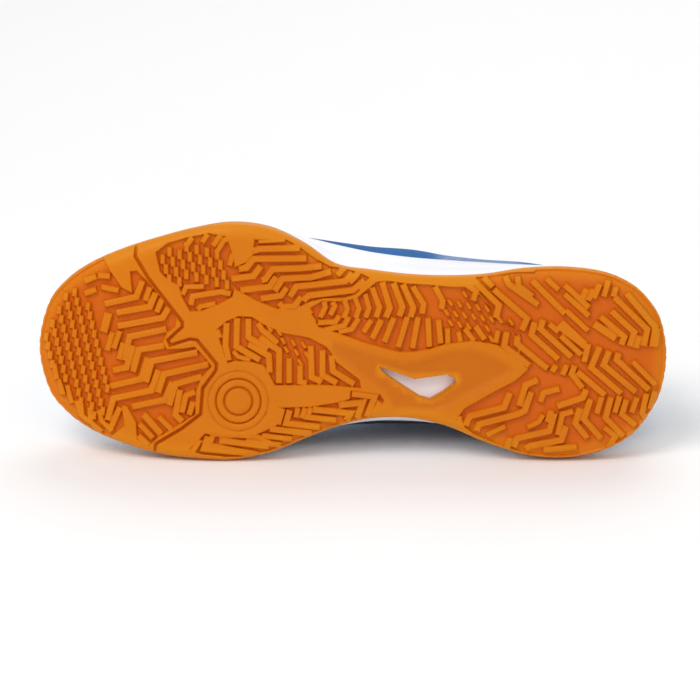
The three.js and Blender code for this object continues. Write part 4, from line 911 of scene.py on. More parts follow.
def side_part():
    """The rubber's rounded edge, its side, and the lip that holds the foam."""
    lip = on_ring(LIP_UP, EDGE_U)
    side = [edge_loop(RIM_INSET, edge_rise(RIM_INSET)), edge_loop(*EDGE_LOOP)]
    for share, relief in SIDE_PROFILE:
        rise = EDGE_ROUND + (lip - EDGE_ROUND) * share
        side.append(edge_loop(relief, rise, 1 - smooth(0.3, 0.5, share)))
    side.append(edge_loop(LIP_THICKNESS * 0.5, lip + LIP_CREST))
    side.append(edge_loop(LIP_THICKNESS, lip))
    side.append(edge_loop(LIP_THICKNESS + 1, OUTSOLE_THICKNESS))
    body = np.concatenate(side)
    ones = np.ones(len(body))
    # The side carries the rim's painted highlight at 0.7, and a little of the pockets' painted shade through
    # its lug share of 0.8
    return body, grid_faces(len(side), EDGE_STEPS, wrap_columns=True), 0.8 * ones, 0 * ones, 0.7 * ones


def top_part():
    """The flat top of the rubber, under the foam."""
    inner = gum_outline(LIP_THICKNESS + 1)
    plan, faces = triangulated([inner, WINDOW], np.zeros((0, 2)))
    top = raised(plan, ground_at(plan[:, 0]) + OUTSOLE_THICKNESS)
    blank = np.zeros(len(top))
    return top, kept_faces(plan, faces, inner, WINDOW), blank, blank, blank


def window_part():
    """The window's wall, from the ground side to the top."""
    hole = np.array(WINDOW, float)
    low = raised(hole, ground_at(hole[:, 0]))
    high = raised(hole, ground_at(hole[:, 0]) + OUTSOLE_THICKNESS)
    wall = grid_faces(2, len(hole), wrap_columns=True)
    ones = np.ones(2 * len(hole))
    # The window's wall carries the rim's painted highlight in full
    return np.concatenate([low, high]), wall[:, ::-1], ones, 0 * ones, ones


def build_outsole(settings, material):
    sizes = (settings.tread_depth, settings.lug_width, settings.lug_draft, settings.lug_corner)
    tread = Tread(*(size / MM for size in sizes))
    points, all_faces, shares, base = [], [], [[], [], []], 0
    for part, faces, *values in (ground_part(tread), side_part(), top_part(), window_part()):
        points.append(part)
        all_faces += (base + np.asarray(faces)).tolist()
        for store, value in zip(shares, values):
            store.append(value)
        base += len(part)
    attributes = {n: np.concatenate(v) for n, v in zip(("lug", "shank", "rim"), shares)}
    return mesh_object(
        "outsole_tread", np.concatenate(points), all_faces, [material], attributes=attributes, sharp=38)


# The midsole and the insole

def wall_top(u):
    """Top edge of the foam's side."""
    plan = plan_point(WALL_X, WALL_Y, u, 0.0)
    return raised(plan, footbed_at(plan[..., 0]) + on_ring(WALL_UP, u))


# Side of the foam: share of the height, swell outwards in millimetres
FOAM_PROFILE = (
    (0.03, 0.3), (0.12, 0.6), (0.3, 0.7), (0.42, 0.35), (0.46, 0.0), (0.5, -WALL_GROOVE), (0.54, 0.0),
    (0.58, 0.35), (0.72, 0.4), (0.88, 0.1), (0.96, -0.2), (1.0, -0.6),
)


# Shares of the foam's depth, from its top edge down, of the loops that bed the upper
BED_SHARES = (1, 0.8, 0.6, 0.4, 0.25)


def build_midsole(material):
    u = RING_U
    lip = on_ring(LIP_UP, u) + CLEARANCE

    def ledge(inset):
        return gum_loop(inset, lip)

    low, high = ledge(2 * CLEARANCE), wall_top(u)
    out = plan_point(WALL_X, WALL_Y, u, -1.0) - plan_point(WALL_X, WALL_Y, u, 0.0)
    share_top = rib_share_at(u, high[:, 2])
    foot = gum_loop(LIP_THICKNESS + 1 + CLEARANCE, OUTSOLE_THICKNESS + CLEARANCE)
    loops = [foot, ledge(LIP_THICKNESS + CLEARANCE), low]
    for share, swell in FOAM_PROFILE:
        loops.append(low + (high - low) * share + raised(out * swell, 0.0))
    for part in BED_SHARES:
        loops.append(upper_point(u, part * share_top, 1.5 * CLEARANCE))
    tucked = plan_point(WALL_X, WALL_Y, u, TUCK - CLEARANCE)
    loops.append(raised(tucked, rib_ends(u)[0][:, 2] - CLEARANCE))
    points, faces = stacked(loops)
    return mesh_object("midsole_foam", points, faces, [material], sharp=50)


# Loops of the footbed: distance in from its edge, share of its thickness
INSOLE_LOOPS = ((1.5, 0), (1.0, 0.075), (0.8, 0.6), (1.0, 0.85), (1.7, 1), (3.2, 1))
HEEL_CUP = 1.5


def build_insole(material):
    loops = []
    for inset, share in INSOLE_LOOPS:
        plan = plan_point(WALL_X, WALL_Y, RING_U, TUCK + UPPER_WALL + CLEARANCE + inset)
        cup = HEEL_CUP * (1 - smooth(0.15, 0.5, plan[:, 0] / SOLE_LENGTH))
        rise = UPPER_WALL + CLEARANCE + share * INSOLE_THICKNESS
        loops.append(raised(plan, footbed_at(plan[:, 0]) + rise + (cup if share > 0.5 else 0.0)))
    points, faces = stacked(loops)
    corners = flat_map(points, faces, (0, 1))
    return mesh_object("insole_cover", points, faces, [material], corners=corners)


# The upper

# Bends of the vamp behind the toes: place along the sole, height, width
VAMP_CREASES = (
    (203, -0.55, 3.0), (208, 0.35, 3.5), (213.5, -0.65, 3.2), (219, 0.3, 4.0), (225, -0.4, 3.5),
)
COLLAR_SWELL = 1.5
COLLAR_SEAM = 0.735
SEAM_DEPTH = 0.5
WAIST_BULGE = 1.5
SWELL = 0.35


def hill(x, centre, width):
    return np.exp(-(((x - centre) / width) ** 2))


def upper_relief(u, v):
    """Soft swellings and creases of the upper, in millimetres."""
    row = row_of(u)
    collar = 1 - smooth(8.2, 9.4, row)
    padding = COLLAR_SWELL * smooth(0.74, 0.86, v) * (1 - smooth(0.93, 1.0, v))
    pad = collar * (padding - SEAM_DEPTH * hill(v, COLLAR_SEAM, 0.02))
    x = upper_base(u, v)[..., 0]
    vamp = smooth(0.35, 0.65, v) * smooth(15, 16, row)
    creases = sum(deep * hill(x, at, wide) for at, deep, wide in VAMP_CREASES) * vamp
    outer_waist = smooth(4.8, 6.2, row) * (1 - smooth(8.4, 10.4, row)) * (np.mod(u, RING) < LAST_ROW)
    waist = WAIST_BULGE * hill(v, 0.42, 0.22) * outer_waist
    middle = smooth(0.3, 0.5, v) * (1 - smooth(0.7, 0.9, v)) * smooth(5, 8, row)
    return pad + creases + waist + SWELL * np.sin(x / 17.0) * middle


# Shares of a rib at the points of the outside and of the lining, and the arc over the top edge
OUTER_V = np.concatenate([np.linspace(0, 0.68, 18), np.linspace(0.7, 0.94, 15), (0.96, 0.98, 1.0)])
INNER_V = np.concatenate([np.linspace(1.0, 0.7, 9), np.linspace(0.62, 0.1, 8)])
COLLAR_ARC = np.radians((25, 50, 75, 90, 105, 130, 155))
ARC_HEIGHT = 0.75


# The surface map's distances round the upper are those at this share of the ribs
MAP_RIB_SHARE = 0.45


def build_upper(textile, lining):
    u = RING_U[:, None]
    outer_v, inner_v = OUTER_V[None, 1:], INNER_V[None, :]
    low = rib_ends(RING_U)[0]
    margin = plan_point(WALL_X, WALL_Y, RING_U, TUCK + LASTING_MARGIN)
    inside = plan_point(WALL_X, WALL_Y, RING_U, TUCK + UPPER_WALL)
    outer = upper_point(u, outer_v, upper_relief(*np.broadcast_arrays(u, outer_v)))
    inner = upper_point(u, inner_v, -wall_thickness(u, inner_v))
    centre, half = (outer[:, -1] + inner[:, 0]) / 2, (outer[:, -1] - inner[:, 0]) / 2
    tall = unit(upper_base(RING_U, np.ones(RING_STEPS)) - upper_base(RING_U, np.full(RING_STEPS, 0.95)))
    ridge = row_of(RING_U) >= RIDGE_START
    tall = np.where(ridge[:, None], unit(tall + tall[-np.arange(RING_STEPS)]), tall)
    reach = np.linalg.norm(half, axis=-1, keepdims=True) * ARC_HEIGHT
    arc = np.stack([centre + half * math.cos(a) + tall * reach * math.sin(a) for a in COLLAR_ARC], 1)
    bed = [
        raised(margin, footbed_at(margin[:, 0])),
        low,
        raised(inside, footbed_at(inside[:, 0]) + UPPER_WALL),
        raised(margin, footbed_at(margin[:, 0]) + UPPER_WALL),
    ]
    bed = [loop[:, None] for loop in bed]
    strips = np.concatenate([*bed[:2], outer, arc, inner, *bed[2:]], 1)
    columns = strips.shape[1]
    top = 1 + outer.shape[1]
    inner_top = top + 1 + len(COLLAR_ARC)
    faces = grid_faces(RING_STEPS, columns, wrap_rows=True, wrap_columns=True)
    i, k = np.divmod(faces[:, 0], columns)
    skip = ridge[i] & ridge[(i + 1) % RING_STEPS] & (k >= top) & (k < inner_top)
    along = run_of(upper_base(RING_U, np.full(RING_STEPS, MAP_RIB_SHARE)))
    along = np.append(along, along[-1] + along[1])
    up = np.concatenate([[0], np.cumsum(np.linalg.norm(np.diff(strips, axis=1), axis=2).mean(axis=0))])
    up = np.append(up, up[-1])
    corners = grid_map(along, up, i, k)
    lined = (k > top + 1) | (k == 0)
    keep = ~skip
    flat = strips.reshape(-1, 3)
    v_all = np.concatenate([[0, 0], OUTER_V[1:], np.ones(len(COLLAR_ARC)), INNER_V, [0, 0]])
    ring_u, rib_v = (a.ravel() for a in np.meshgrid(RING_U, v_all, indexing="ij"))
    inner_side = smooth(0.5, 1.5, ring_u - LAST_ROW) * smooth(0.5, 1.5, RING - ring_u)
    streaks = smooth(61, 70, flat[:, 0]) * (1 - smooth(100, 110, flat[:, 0]))
    streaks = streaks * (1 - smooth(52, 60, flat[:, 2]))
    attributes = {"inner_side": inner_side, "streaks": streaks * (ring_u < LAST_ROW), "rib": rib_v}
    return mesh_object(
        "upper_textile", flat, faces[keep], [textile, lining], corners=corners[keep].reshape(-1, 2),
        face_materials=lined[keep].astype(int), attributes=attributes,
    )


def overlay(name, u, low, high, material):
    """A patch on the upper between two shares of each rib, with rounded edges."""
    shares = np.concatenate([(0, 0.012, 0.035), np.linspace(0.1, 0.9, 15), (0.965, 0.988, 1)])
    lifts = np.concatenate([(0.0, 0.75, 1.0), np.ones(15), (1.0, 0.75, 0.0)])
    ends = np.ones(len(u))
    ends[[0, -1]], ends[[1, -2]] = 0.3, 0.85
    v = low(u)[:, None] + (high(u) - low(u))[:, None] * shares
    grid_u = np.broadcast_to(u[:, None], v.shape)
    relief = upper_relief(grid_u, v)
    top = upper_point(grid_u, v, relief + (lifts * ends[:, None]) * OVERLAY_THICKNESS + 0.05)
    under = upper_point(grid_u, v, relief - 0.6)[:, ::-1]
    points, faces = closed_strips(np.concatenate([top, under], 1))
    return mesh_object(name, points, faces, [material], corners=flat_map(points, faces, (0, 2)), sharp=60)


# The eyestays: rows from the collar to the front, shares of the ribs at their edges, and how much
# the lower edge rises towards both ends
EYESTAY_ROWS = (8.4, 14.7)
EYESTAY_LOW, EYESTAY_HIGH = 0.7, 0.965
EYESTAY_FRONT_RISE, EYESTAY_COLLAR_RISE = 0.1, 0.12


def eyestay_low(u):
    row = row_of(u)
    front, collar = smooth(12, 14.5, row), 1 - smooth(EYESTAY_ROWS[0], 9.6, row)
    return EYESTAY_LOW + EYESTAY_FRONT_RISE * front + EYESTAY_COLLAR_RISE * collar


def eyestay_high(u):
    return np.full_like(u, EYESTAY_HIGH)


# The heel counter: rows it reaches to on both sides, its top edge's height there and at the heel
COUNTER_ROWS = 4.9
COUNTER_LOW = 44.0
COUNTER_HIGH = 68.0


def counter_low(u):
    return rib_share_at(u, wall_top(u)[:, 2] + CLEARANCE) + 0.01


def counter_high(u):
    height = COUNTER_HIGH + (COUNTER_LOW - COUNTER_HIGH) * smooth(0, COUNTER_ROWS, row_of(u))
    return np.maximum(counter_low(u) + 0.03, rib_share_at(u, height))


PIN_SIDES = 20
PIN_INSIDE, PIN_OUTSIDE = -7.0, 6.0


def eyelet_cutter():
    """Pins through every eyelet, as one mesh."""
    points, faces = [], []
    for u in [r for row in EYELET_ROWS for r in (row, RING - row)]:
        u = np.float64(u)
        axis = unit(eyelet_point(u, 4.0) - eyelet_point(u, -4.0))
        side = unit(np.cross(axis, (1.0, 0.0, 0.0)))
        other = np.cross(axis, side)
        base = len(points)
        for off in (PIN_INSIDE, PIN_OUTSIDE):
            for a in np.arange(PIN_SIDES) * 2 * math.pi / PIN_SIDES:
                ring = side * math.cos(a) + other * math.sin(a)
                points.append(eyelet_point(u, 0.0) + axis * off + ring * EYELET_RADIUS)
        low, high = np.arange(PIN_SIDES) + base, np.arange(PIN_SIDES) + base + PIN_SIDES
        faces += np.stack([low, np.roll(low, -1), np.roll(high, -1), high], -1).tolist()
        faces += [low[::-1].tolist(), high.tolist()]
    return mesh_object("eyelet_pins", np.array(points), faces, [])


def pierced(piece, cutter):
    """The piece with the eyelets cut through it, as a plain mesh."""
    hole = piece.modifiers.new("eyelets", "BOOLEAN")
    hole.operation, hole.solver, hole.object = "DIFFERENCE", "EXACT", cutter
    return plain_mesh(piece)


# The tongue

TONGUE_TOP = 9.1
TONGUE_FOOT = 16.2
# Sections above the throat: distance out as a share of the rise, width share, height of the crown,
# thickness share
TONGUE_TABS = (
    (1.47, 0.5, 4.2, 0.35), (1.45, 0.6, 4.8, 0.7), (1.36, 0.7, 5.6, 1.15),
    (1.1, 0.72, 5.5, 1.15), (0.72, 0.7, 5.0, 1.15), (0.34, 0.78, 3.5, 1.15),
)
CROWN_SHARE = 0.6
WING_V = np.array((0.8, 0.835, 0.87, 0.905, 0.94, 0.97))


def tongue_section(u, off):
    """A line across the tongue under the throat's edges, off millimetres further in."""
    def side(x):
        x = np.full(len(WING_V), x)
        return upper_point(x, WING_V, -wall_thickness(x, WING_V) - TONGUE_GAP - off)

    depth = -wall_thickness(np.float64(u), 1.0) - TONGUE_GAP - off
    left, right = upper_point(u, 1.0, depth), upper_point(RING - u, 1.0, depth)
    crown = [left + (right - left) * f for f in (0.2, 0.35, 0.5, 0.65, 0.8)]
    return np.concatenate([side(u), crown, side(RING - u)[::-1]])


def build_tongue(material):
    strips = []
    rise = [on_ring(values, THROAT_TOP) - on_ring(values, THROAT_TOP + 3) for values in (TOP_X, TOP_Z)]
    direction = unit(np.array([rise[0], 0, rise[1]]))
    across = np.linspace(-1, 1, 2 * len(WING_V) + 5)
    edge = np.clip((1 - np.abs(across)) / 0.2, 0.12, 1) ** 0.5
    for out, wide, crown, thick in TONGUE_TABS:
        sides = []
        for off in (0.0, TONGUE_THICKNESS * thick):
            line = tongue_section(TONGUE_TOP, off) + direction * out * TONGUE_RISE
            middle = on_ring(TOP_Z, TONGUE_TOP) + direction[2] * out * TONGUE_RISE
            line[:, 1] *= wide
            flatter = (line[:, 2] - middle + off) * wide * wide
            line[:, 2] = middle - off + flatter + crown * out * CROWN_SHARE
            sides.append(line)
        strips.append(rounded_pair(*sides, edge))
    for u in np.linspace(TONGUE_TOP, TONGUE_FOOT, 40):
        thick = TONGUE_THICKNESS * (1 - 0.5 * float(smooth(14, TONGUE_FOOT, u)))
        strips.append(rounded_pair(tongue_section(u, 0.0), tongue_section(u, thick), edge))
    points, faces = closed_strips(np.stack(strips))
    corners = flat_map(points, faces, (0, 1))
    return mesh_object("tongue_padded", points, faces, [material], corners=corners)


def rounded_pair(top, under, edge):
    """The two faces of a padded strip, drawn together at its edges."""
    middle = (top + under) / 2
    share = edge[:, None]
    return np.concatenate([middle + (top - middle) * share, (middle + (under - middle) * share)[::-1]])


# The laces

# Height of the laces' middle over the last where they lie on the overlay, and under the wall
LACE_LIFT = OVERLAY_THICKNESS + 0.95
LACE_UNDER = -(UPPER_WALL + 0.95)
# Heights over the last where a strand comes up through its eyelet
EYELET_BELOW, EYELET_ABOVE = -3.4, 0.4
LACE_SIDES = 16


def curve_through(points, count):
    """A smooth curve through the points, at even steps."""
    p = np.asarray(points, float)
    p = np.concatenate([[2 * p[0] - p[1]], p, [2 * p[-1] - p[-2]]])
    t = np.linspace(0, len(points) - 1 - 1e-6, 30 * len(points))
    cell = t.astype(int)
    f = (t - cell)[:, None]
    a, b, c, d = (p[cell + k] for k in range(4))
    dense = 0.5 * (2 * b + (c - a) * f + (2 * a - 5 * b + 4 * c - d) * f**2 + (3 * b - a - 3 * c + d) * f**3)
    run = run_of(dense)
    at = np.linspace(0, run[-1], count)
    return np.stack([np.interp(at, run, dense[:, k]) for k in range(3)], -1), at


def lace_strand(start, end, dives, width, thickness):
    """A strand from the eyelet at ring place start to the one at end. It lies on the overlay at its
    start, and at its end it dives under the edge, or into the eyelet where dives is False."""
    start, end = np.float64(start), np.float64(end)
    heights = (EYELET_BELOW, EYELET_ABOVE, LACE_LIFT)
    path = [eyelet_point(start, height) for height in heights]
    near = upper_point(start, 1.0, LACE_LIFT - 0.2)
    far = upper_point(end, 1.0, LACE_UNDER if dives else LACE_LIFT - 0.2)
    middle = (near + far) / 2 + np.array([0, 0, -0.2 if dives else 1.0])
    path += [near + (far - near) * 0.03, middle, far + (near - far) * 0.03]
    if dives:
        path += [eyelet_point(end, LACE_UNDER)]
    else:
        path += [eyelet_point(end, height) for height in reversed(heights)]
    centre, run = curve_through(path, 64)
    along = unit(np.gradient(centre, axis=0))
    mix = smooth(0.15, 0.85, run / run[-1])[:, None]
    up = unit(upper_normal(start, 0.95) * (1 - mix) + upper_normal(end, 0.95) * mix)
    lead = unit(near - eyelet_point(start, LACE_LIFT))
    bent = smooth(0.8, 0.2, np.abs(np.sum(along * up, axis=1)))[:, None]
    side = unit(np.cross(np.where(bent > 0.5, along, lead), up))
    tail = unit(eyelet_point(end, LACE_LIFT) - upper_point(end, 1.0, LACE_LIFT))
    late = (run > run[-1] * 0.6)[:, None] & (bent <= 0.5)
    side = np.where(late, unit(np.cross(tail, up)), side)
    side = unit(side - along * np.sum(side * along, axis=1, keepdims=True))
    rise = np.cross(side, along)
    tight = EYELET_RADIUS * 1.7 / width
    close = np.minimum(run, 1e9 if dives else run[-1] - run)
    squeeze = tight + (1 - tight) * smooth(3.0, 8.0, close)[:, None]
    angle = np.arange(LACE_SIDES) * 2 * math.pi / LACE_SIDES
    wide, high = np.cos(angle), np.sin(angle)
    section = np.stack([np.sign(wide) * np.abs(wide) ** 0.6, np.sign(high) * np.abs(high) ** 0.8], -1)
    rings = centre[:, None] + section[:, :1] * side[:, None] * (width / 2) * squeeze[:, None]
    rings = rings + section[:, 1:] * rise[:, None] * (thickness / 2) * (2 - squeeze)[:, None]
    return rings, run


def build_laces(settings, material):
    width, thickness = settings.width / MM, settings.thickness / MM
    foot = EYELET_ROWS[-1]
    strands = [lace_strand(foot, RING - foot, False, width, thickness)]
    for lower, higher in zip(EYELET_ROWS[:0:-1], EYELET_ROWS[-2::-1]):
        strands.append(lace_strand(lower, RING - higher, True, width, thickness))
        strands.append(lace_strand(RING - lower, higher, True, width, thickness * 0.98))
    points, faces, corners, base = [], [], [], 0
    for rings, run in strands:
        rows, columns = rings.shape[:2]
        grid = grid_faces(rows, columns, wrap_columns=True)
        i, k = np.divmod(grid[:, 0], columns)
        across = np.arange(columns + 1) / columns * 2 * (width + thickness)
        corners.append(grid_map(run, across, i, k).reshape(-1, 2))
        faces += (grid + base).tolist()
        for cap in (list(range(columns))[::-1], [(rows - 1) * columns + k for k in range(columns)]):
            faces.append([base + c for c in cap])
            corners.append(np.zeros((columns, 2)))
        points.append(rings.reshape(-1, 3))
        base += rows * columns
    corners = np.concatenate(corners)
    return mesh_object("laces_crossed", np.concatenate(points), faces, [material], corners=corners)


# Stitching: rows of thread laid along lines on the upper

def socket(tree, name, kind, default=None, inward=True):
    made = tree.interface.new_socket(name, in_out="INPUT" if inward else "OUTPUT", socket_type=kind)
    if default is not None:
        made.default_value = default
    return made


def node(tree, kind, links=None, **settings):
    """Adds a node; links gives each named input a value or the socket that feeds it."""
    made = tree.nodes.new(kind)
    for key, value in settings.items():
        setattr(made, key, value)
    for name, source in (links or {}).items():
        target = made.inputs[name]
        if isinstance(source, bpy.types.NodeSocket):
            tree.links.new(source, target)
        else:
            target.default_value = source
    return made


def stitch_tree():
    tree = bpy.data.node_groups.new("Stitch Rows", "GeometryNodeTree")
    socket(tree, "Geometry", "NodeSocketGeometry")
    socket(tree, "Pitch", "NodeSocketFloat", 0.003)
    socket(tree, "Stitch Length", "NodeSocketFloat", 0.0024)
    socket(tree, "Thread Radius", "NodeSocketFloat", 0.0003)
    socket(tree, "Thread", "NodeSocketMaterial")
    socket(tree, "Geometry", "NodeSocketGeometry", inward=False)
    start = tree.nodes.new("NodeGroupInput")
    line = node(tree, "GeometryNodeMeshToCurve", {"Mesh": start.outputs["Geometry"]})
    spaced = {"Curve": line.outputs[0], "Length": start.outputs["Pitch"]}
    points = node(tree, "GeometryNodeCurveToPoints", spaced, mode="LENGTH")
    ball = node(tree, "GeometryNodeMeshUVSphere", {"Segments": 8, "Rings": 6, "Radius": 1.0})
    half = node(tree, "ShaderNodeMath", {0: start.outputs["Stitch Length"], 1: 0.5}, operation="MULTIPLY")
    scale = node(tree, "ShaderNodeCombineXYZ", {
        "X": start.outputs["Thread Radius"], "Y": start.outputs["Thread Radius"], "Z": half.outputs[0]})
    thread = node(tree, "GeometryNodeTransform", {"Geometry": ball.outputs[0], "Scale": scale.outputs[0]})
    laid = node(tree, "GeometryNodeInstanceOnPoints", {
        "Points": points.outputs["Points"], "Instance": thread.outputs[0],
        "Rotation": points.outputs["Rotation"]})
    real = node(tree, "GeometryNodeRealizeInstances", {"Geometry": laid.outputs[0]})
    smoothed = node(tree, "GeometryNodeSetShadeSmooth", {"Geometry": real.outputs[0]})
    coloured = node(tree, "GeometryNodeSetMaterial", {
        "Geometry": smoothed.outputs[0], "Material": start.outputs["Thread"]})
    end = tree.nodes.new("NodeGroupOutput")
    tree.links.new(coloured.outputs[0], end.inputs["Geometry"])
    return tree


def set_inputs(modifier, values):
    for item in modifier.node_group.interface.items_tree:
        if item.item_type == "SOCKET" and item.in_out == "INPUT" and item.name in values:
            modifier[item.identifier] = values[item.name]


# Rows of stitches on the overlays, as shares of their height, and how high the thread lies
EYESTAY_SEAMS = (0.075, 0.16, 0.93)
COUNTER_SEAMS = (0.955, 0.86)
THREAD_LIFT = 0.12


def seam_lines():
    """Lines on the upper that carry stitches, each as points in millimetres."""
    lines = []
    lift = OVERLAY_THICKNESS + THREAD_LIFT
    for side in (1, -1):
        rows = np.linspace(EYESTAY_ROWS[0] + 0.15, EYESTAY_ROWS[1] - 0.1, 90)
        u = rows if side == 1 else RING - rows
        low, high = eyestay_low(u), eyestay_high(u)
        for share in EYESTAY_SEAMS:
            v = low + (high - low) * share
            lines.append(upper_point(u, v, upper_relief(u, v) + lift))
    u = np.linspace(-COUNTER_ROWS + 0.25, COUNTER_ROWS - 0.25, 120)
    low, high = counter_low(u), counter_high(u)
    for share in COUNTER_SEAMS:
        v = low + (high - low) * share
        lines.append(upper_point(u, v, upper_relief(u, v) + lift))
    u = np.linspace(-8.6, 8.6, 260)
    v = np.full_like(u, COLLAR_SEAM)
    lines.append(upper_point(u, v, upper_relief(u, v) + 0.2))
    return lines


def build_stitches(settings, thread):
    points, edges = [], []
    for line in seam_lines():
        base = len(points)
        points += [tuple(p) for p in placed(line)]
        edges += [(base + i, base + i + 1) for i in range(len(line) - 1)]
    mesh = bpy.data.meshes.new("stitch_lines")
    mesh.from_pydata(points, edges, [])
    piece = bpy.data.objects.new("stitching", mesh)
    bpy.context.scene.collection.objects.link(piece)
    modifier = piece.modifiers.new("stitches", "NODES")
    modifier.node_group = stitch_tree()
    set_inputs(modifier, {
        "Pitch": settings.stitch_pitch, "Stitch Length": settings.stitch_length,
        "Thread Radius": settings.thread_radius, "Thread": thread,
    })
    return plain_mesh(piece)


# Finishes shared by several materials

def grain_group():
    """Fine unevenness of a moulded surface."""
    tree = bpy.data.node_groups.new("Moulded Grain", "ShaderNodeTree")
    socket(tree, "Scale", "NodeSocketFloat", 900.0)
    socket(tree, "Blotch Scale", "NodeSocketFloat", 30.0)
    socket(tree, "Height", "NodeSocketFloat", inward=False)
    socket(tree, "Blotch", "NodeSocketFloat", inward=False)
    start, place = tree.nodes.new("NodeGroupInput"), tree.nodes.new("ShaderNodeTexCoord")
    fine = node(tree, "ShaderNodeTexNoise", {
        "Vector": place.outputs["Object"], "Scale": start.outputs["Scale"], "Detail": 4.0, "Roughness": 0.6})
    wide = node(tree, "ShaderNodeTexNoise", {
        "Vector": place.outputs["Object"], "Scale": start.outputs["Blotch Scale"], "Detail": 3.0})
    end = tree.nodes.new("NodeGroupOutput")
    tree.links.new(fine.outputs[0], end.inputs["Height"])
    tree.links.new(wide.outputs[0], end.inputs["Blotch"])
    return tree


def weave_group():
    """Threads that cross over and under, on the piece's own surface map (one unit is 10 mm)."""
    tree = bpy.data.node_groups.new("Woven Threads", "ShaderNodeTree")
    socket(tree, "Threads", "NodeSocketFloat", 12.0)
    socket(tree, "Skew", "NodeSocketFloat", 0.0)
    socket(tree, "Height", "NodeSocketFloat", inward=False)
    socket(tree, "Gap", "NodeSocketFloat", inward=False)
    start = tree.nodes.new("NodeGroupInput")
    surface = node(tree, "ShaderNodeUVMap", uv_map="surface")
    parts = node(tree, "ShaderNodeSeparateXYZ", {"Vector": surface.outputs[0]})
    skewed = node(tree, "ShaderNodeMath", {
        0: parts.outputs[1], 1: start.outputs["Skew"], 2: parts.outputs[0]}, operation="MULTIPLY_ADD")

    def wave(value):
        angle = node(tree, "ShaderNodeMath", {0: value, 1: start.outputs["Threads"]}, operation="MULTIPLY")
        turned = node(tree, "ShaderNodeMath", {0: angle.outputs[0], 1: math.pi}, operation="MULTIPLY")
        return node(tree, "ShaderNodeMath", {0: turned.outputs[0]}, operation="SINE").outputs[0]

    def absolute(value):
        return node(tree, "ShaderNodeMath", {0: value}, operation="ABSOLUTE").outputs[0]

    warp, weft = wave(skewed.outputs[0]), wave(parts.outputs[1])
    over = node(tree, "ShaderNodeMath", {0: warp, 1: weft}, operation="MULTIPLY")
    height = node(tree, "ShaderNodeMath", {0: absolute(warp), 1: absolute(weft)}, operation="MAXIMUM")
    total = node(tree, "ShaderNodeMath", {
        0: over.outputs[0], 1: 0.35, 2: height.outputs[0]}, operation="MULTIPLY_ADD")
    gap = node(tree, "ShaderNodeMath", {0: absolute(warp), 1: absolute(weft)}, operation="ADD")
    open_share = node(tree, "ShaderNodeMapRange", {
        "Value": gap.outputs[0], "From Min": 0.35, "From Max": 0.75, "To Min": 1.0, "To Max": 0.0})
    end = tree.nodes.new("NodeGroupOutput")
    tree.links.new(total.outputs[0], end.inputs["Height"])
    tree.links.new(open_share.outputs[0], end.inputs["Gap"])
    return tree


GROUPS = {}


def group_node(tree, name, make, values):
    if name not in GROUPS:
        GROUPS[name] = make()
    return node(tree, "ShaderNodeGroup", values, node_tree=GROUPS[name])


def material(name):
    made = bpy.data.materials.new(name)
    made.use_nodes = True
    return made, made.node_tree, made.node_tree.nodes["Principled BSDF"]


def mixed(tree, share, first, second):
    """Colour between two, which may be colours or sockets."""
    made = tree.nodes.new("ShaderNodeMix")
    made.data_type = "RGBA"
    for target, source in ((made.inputs[0], share), (made.inputs[6], first), (made.inputs[7], second)):
        if isinstance(source, bpy.types.NodeSocket):
            tree.links.new(source, target)
        elif target is made.inputs[0]:
            target.default_value = source
        else:
            target.default_value = (*source[:3], 1)
    return made.outputs[2]


def ranged(tree, value, low, high, to_low=0.0, to_high=1.0):
    return node(tree, "ShaderNodeMapRange", {
        "Value": value, "From Min": low, "From Max": high, "To Min": to_low, "To Max": to_high}).outputs[0]


def product(tree, first, second):
    return node(tree, "ShaderNodeMath", {0: first, 1: second}, operation="MULTIPLY").outputs[0]


def bumped(tree, shader, height, strength, distance):
    bump = node(tree, "ShaderNodeBump", {"Height": height, "Strength": strength, "Distance": distance})
    tree.links.new(bump.outputs[0], shader.inputs["Normal"])
    return bump


def attribute(tree, name):
    return node(tree, "ShaderNodeAttribute", attribute_name=name).outputs["Fac"]


def gum_material(settings):
    made, tree, shader = material("gum_rubber")
    grain = group_node(tree, "grain", grain_group, {"Scale": 700.0, "Blotch Scale": 22.0})
    blotch = ranged(tree, grain.outputs["Blotch"], 0.35, 0.65)
    top = mixed(tree, product(tree, blotch, 0.5), settings.gum_top, settings.gum_flush)
    # Painted shade: the pockets' floors are darker than the lug tops, by the lug share
    colour = mixed(tree, attribute(tree, "lug"), settings.gum_floor_shade, top)
    colour = mixed(tree, product(tree, attribute(tree, "shank"), 0.6), colour, settings.gum_shank)
    # Painted highlight: lighter, yellower gum on the edges, by the rim share
    colour = mixed(tree, product(tree, attribute(tree, "rim"), 0.7), colour, settings.gum_rim_highlight)
    tree.links.new(colour, shader.inputs["Base Color"])
    tree.links.new(ranged(tree, grain.outputs["Blotch"], 0.3, 0.7, 0.36, 0.48), shader.inputs["Roughness"])
    shader.inputs["Subsurface Weight"].default_value = 0.12
    shader.inputs["Subsurface Radius"].default_value = (1.0, 0.4, 0.08)
    shader.inputs["Subsurface Scale"].default_value = 0.003
    shader.inputs["Specular IOR Level"].default_value = 0.16
    bumped(tree, shader, grain.outputs["Height"], 0.12, 0.0002)
    return made


def foam_material(settings):
    made, tree, shader = material("white_foam")
    grain = group_node(tree, "grain", grain_group, {"Scale": 1600.0, "Blotch Scale": 14.0})
    shade = ranged(tree, grain.outputs["Blotch"], 0.35, 0.65)
    tree.links.new(mixed(tree, shade, settings.foam, settings.foam_shade), shader.inputs["Base Color"])
    tree.links.new(ranged(tree, grain.outputs["Height"], 0.3, 0.7, 0.55, 0.7), shader.inputs["Roughness"])
    bumped(tree, shader, grain.outputs["Height"], 0.15, 0.00015)
    return made


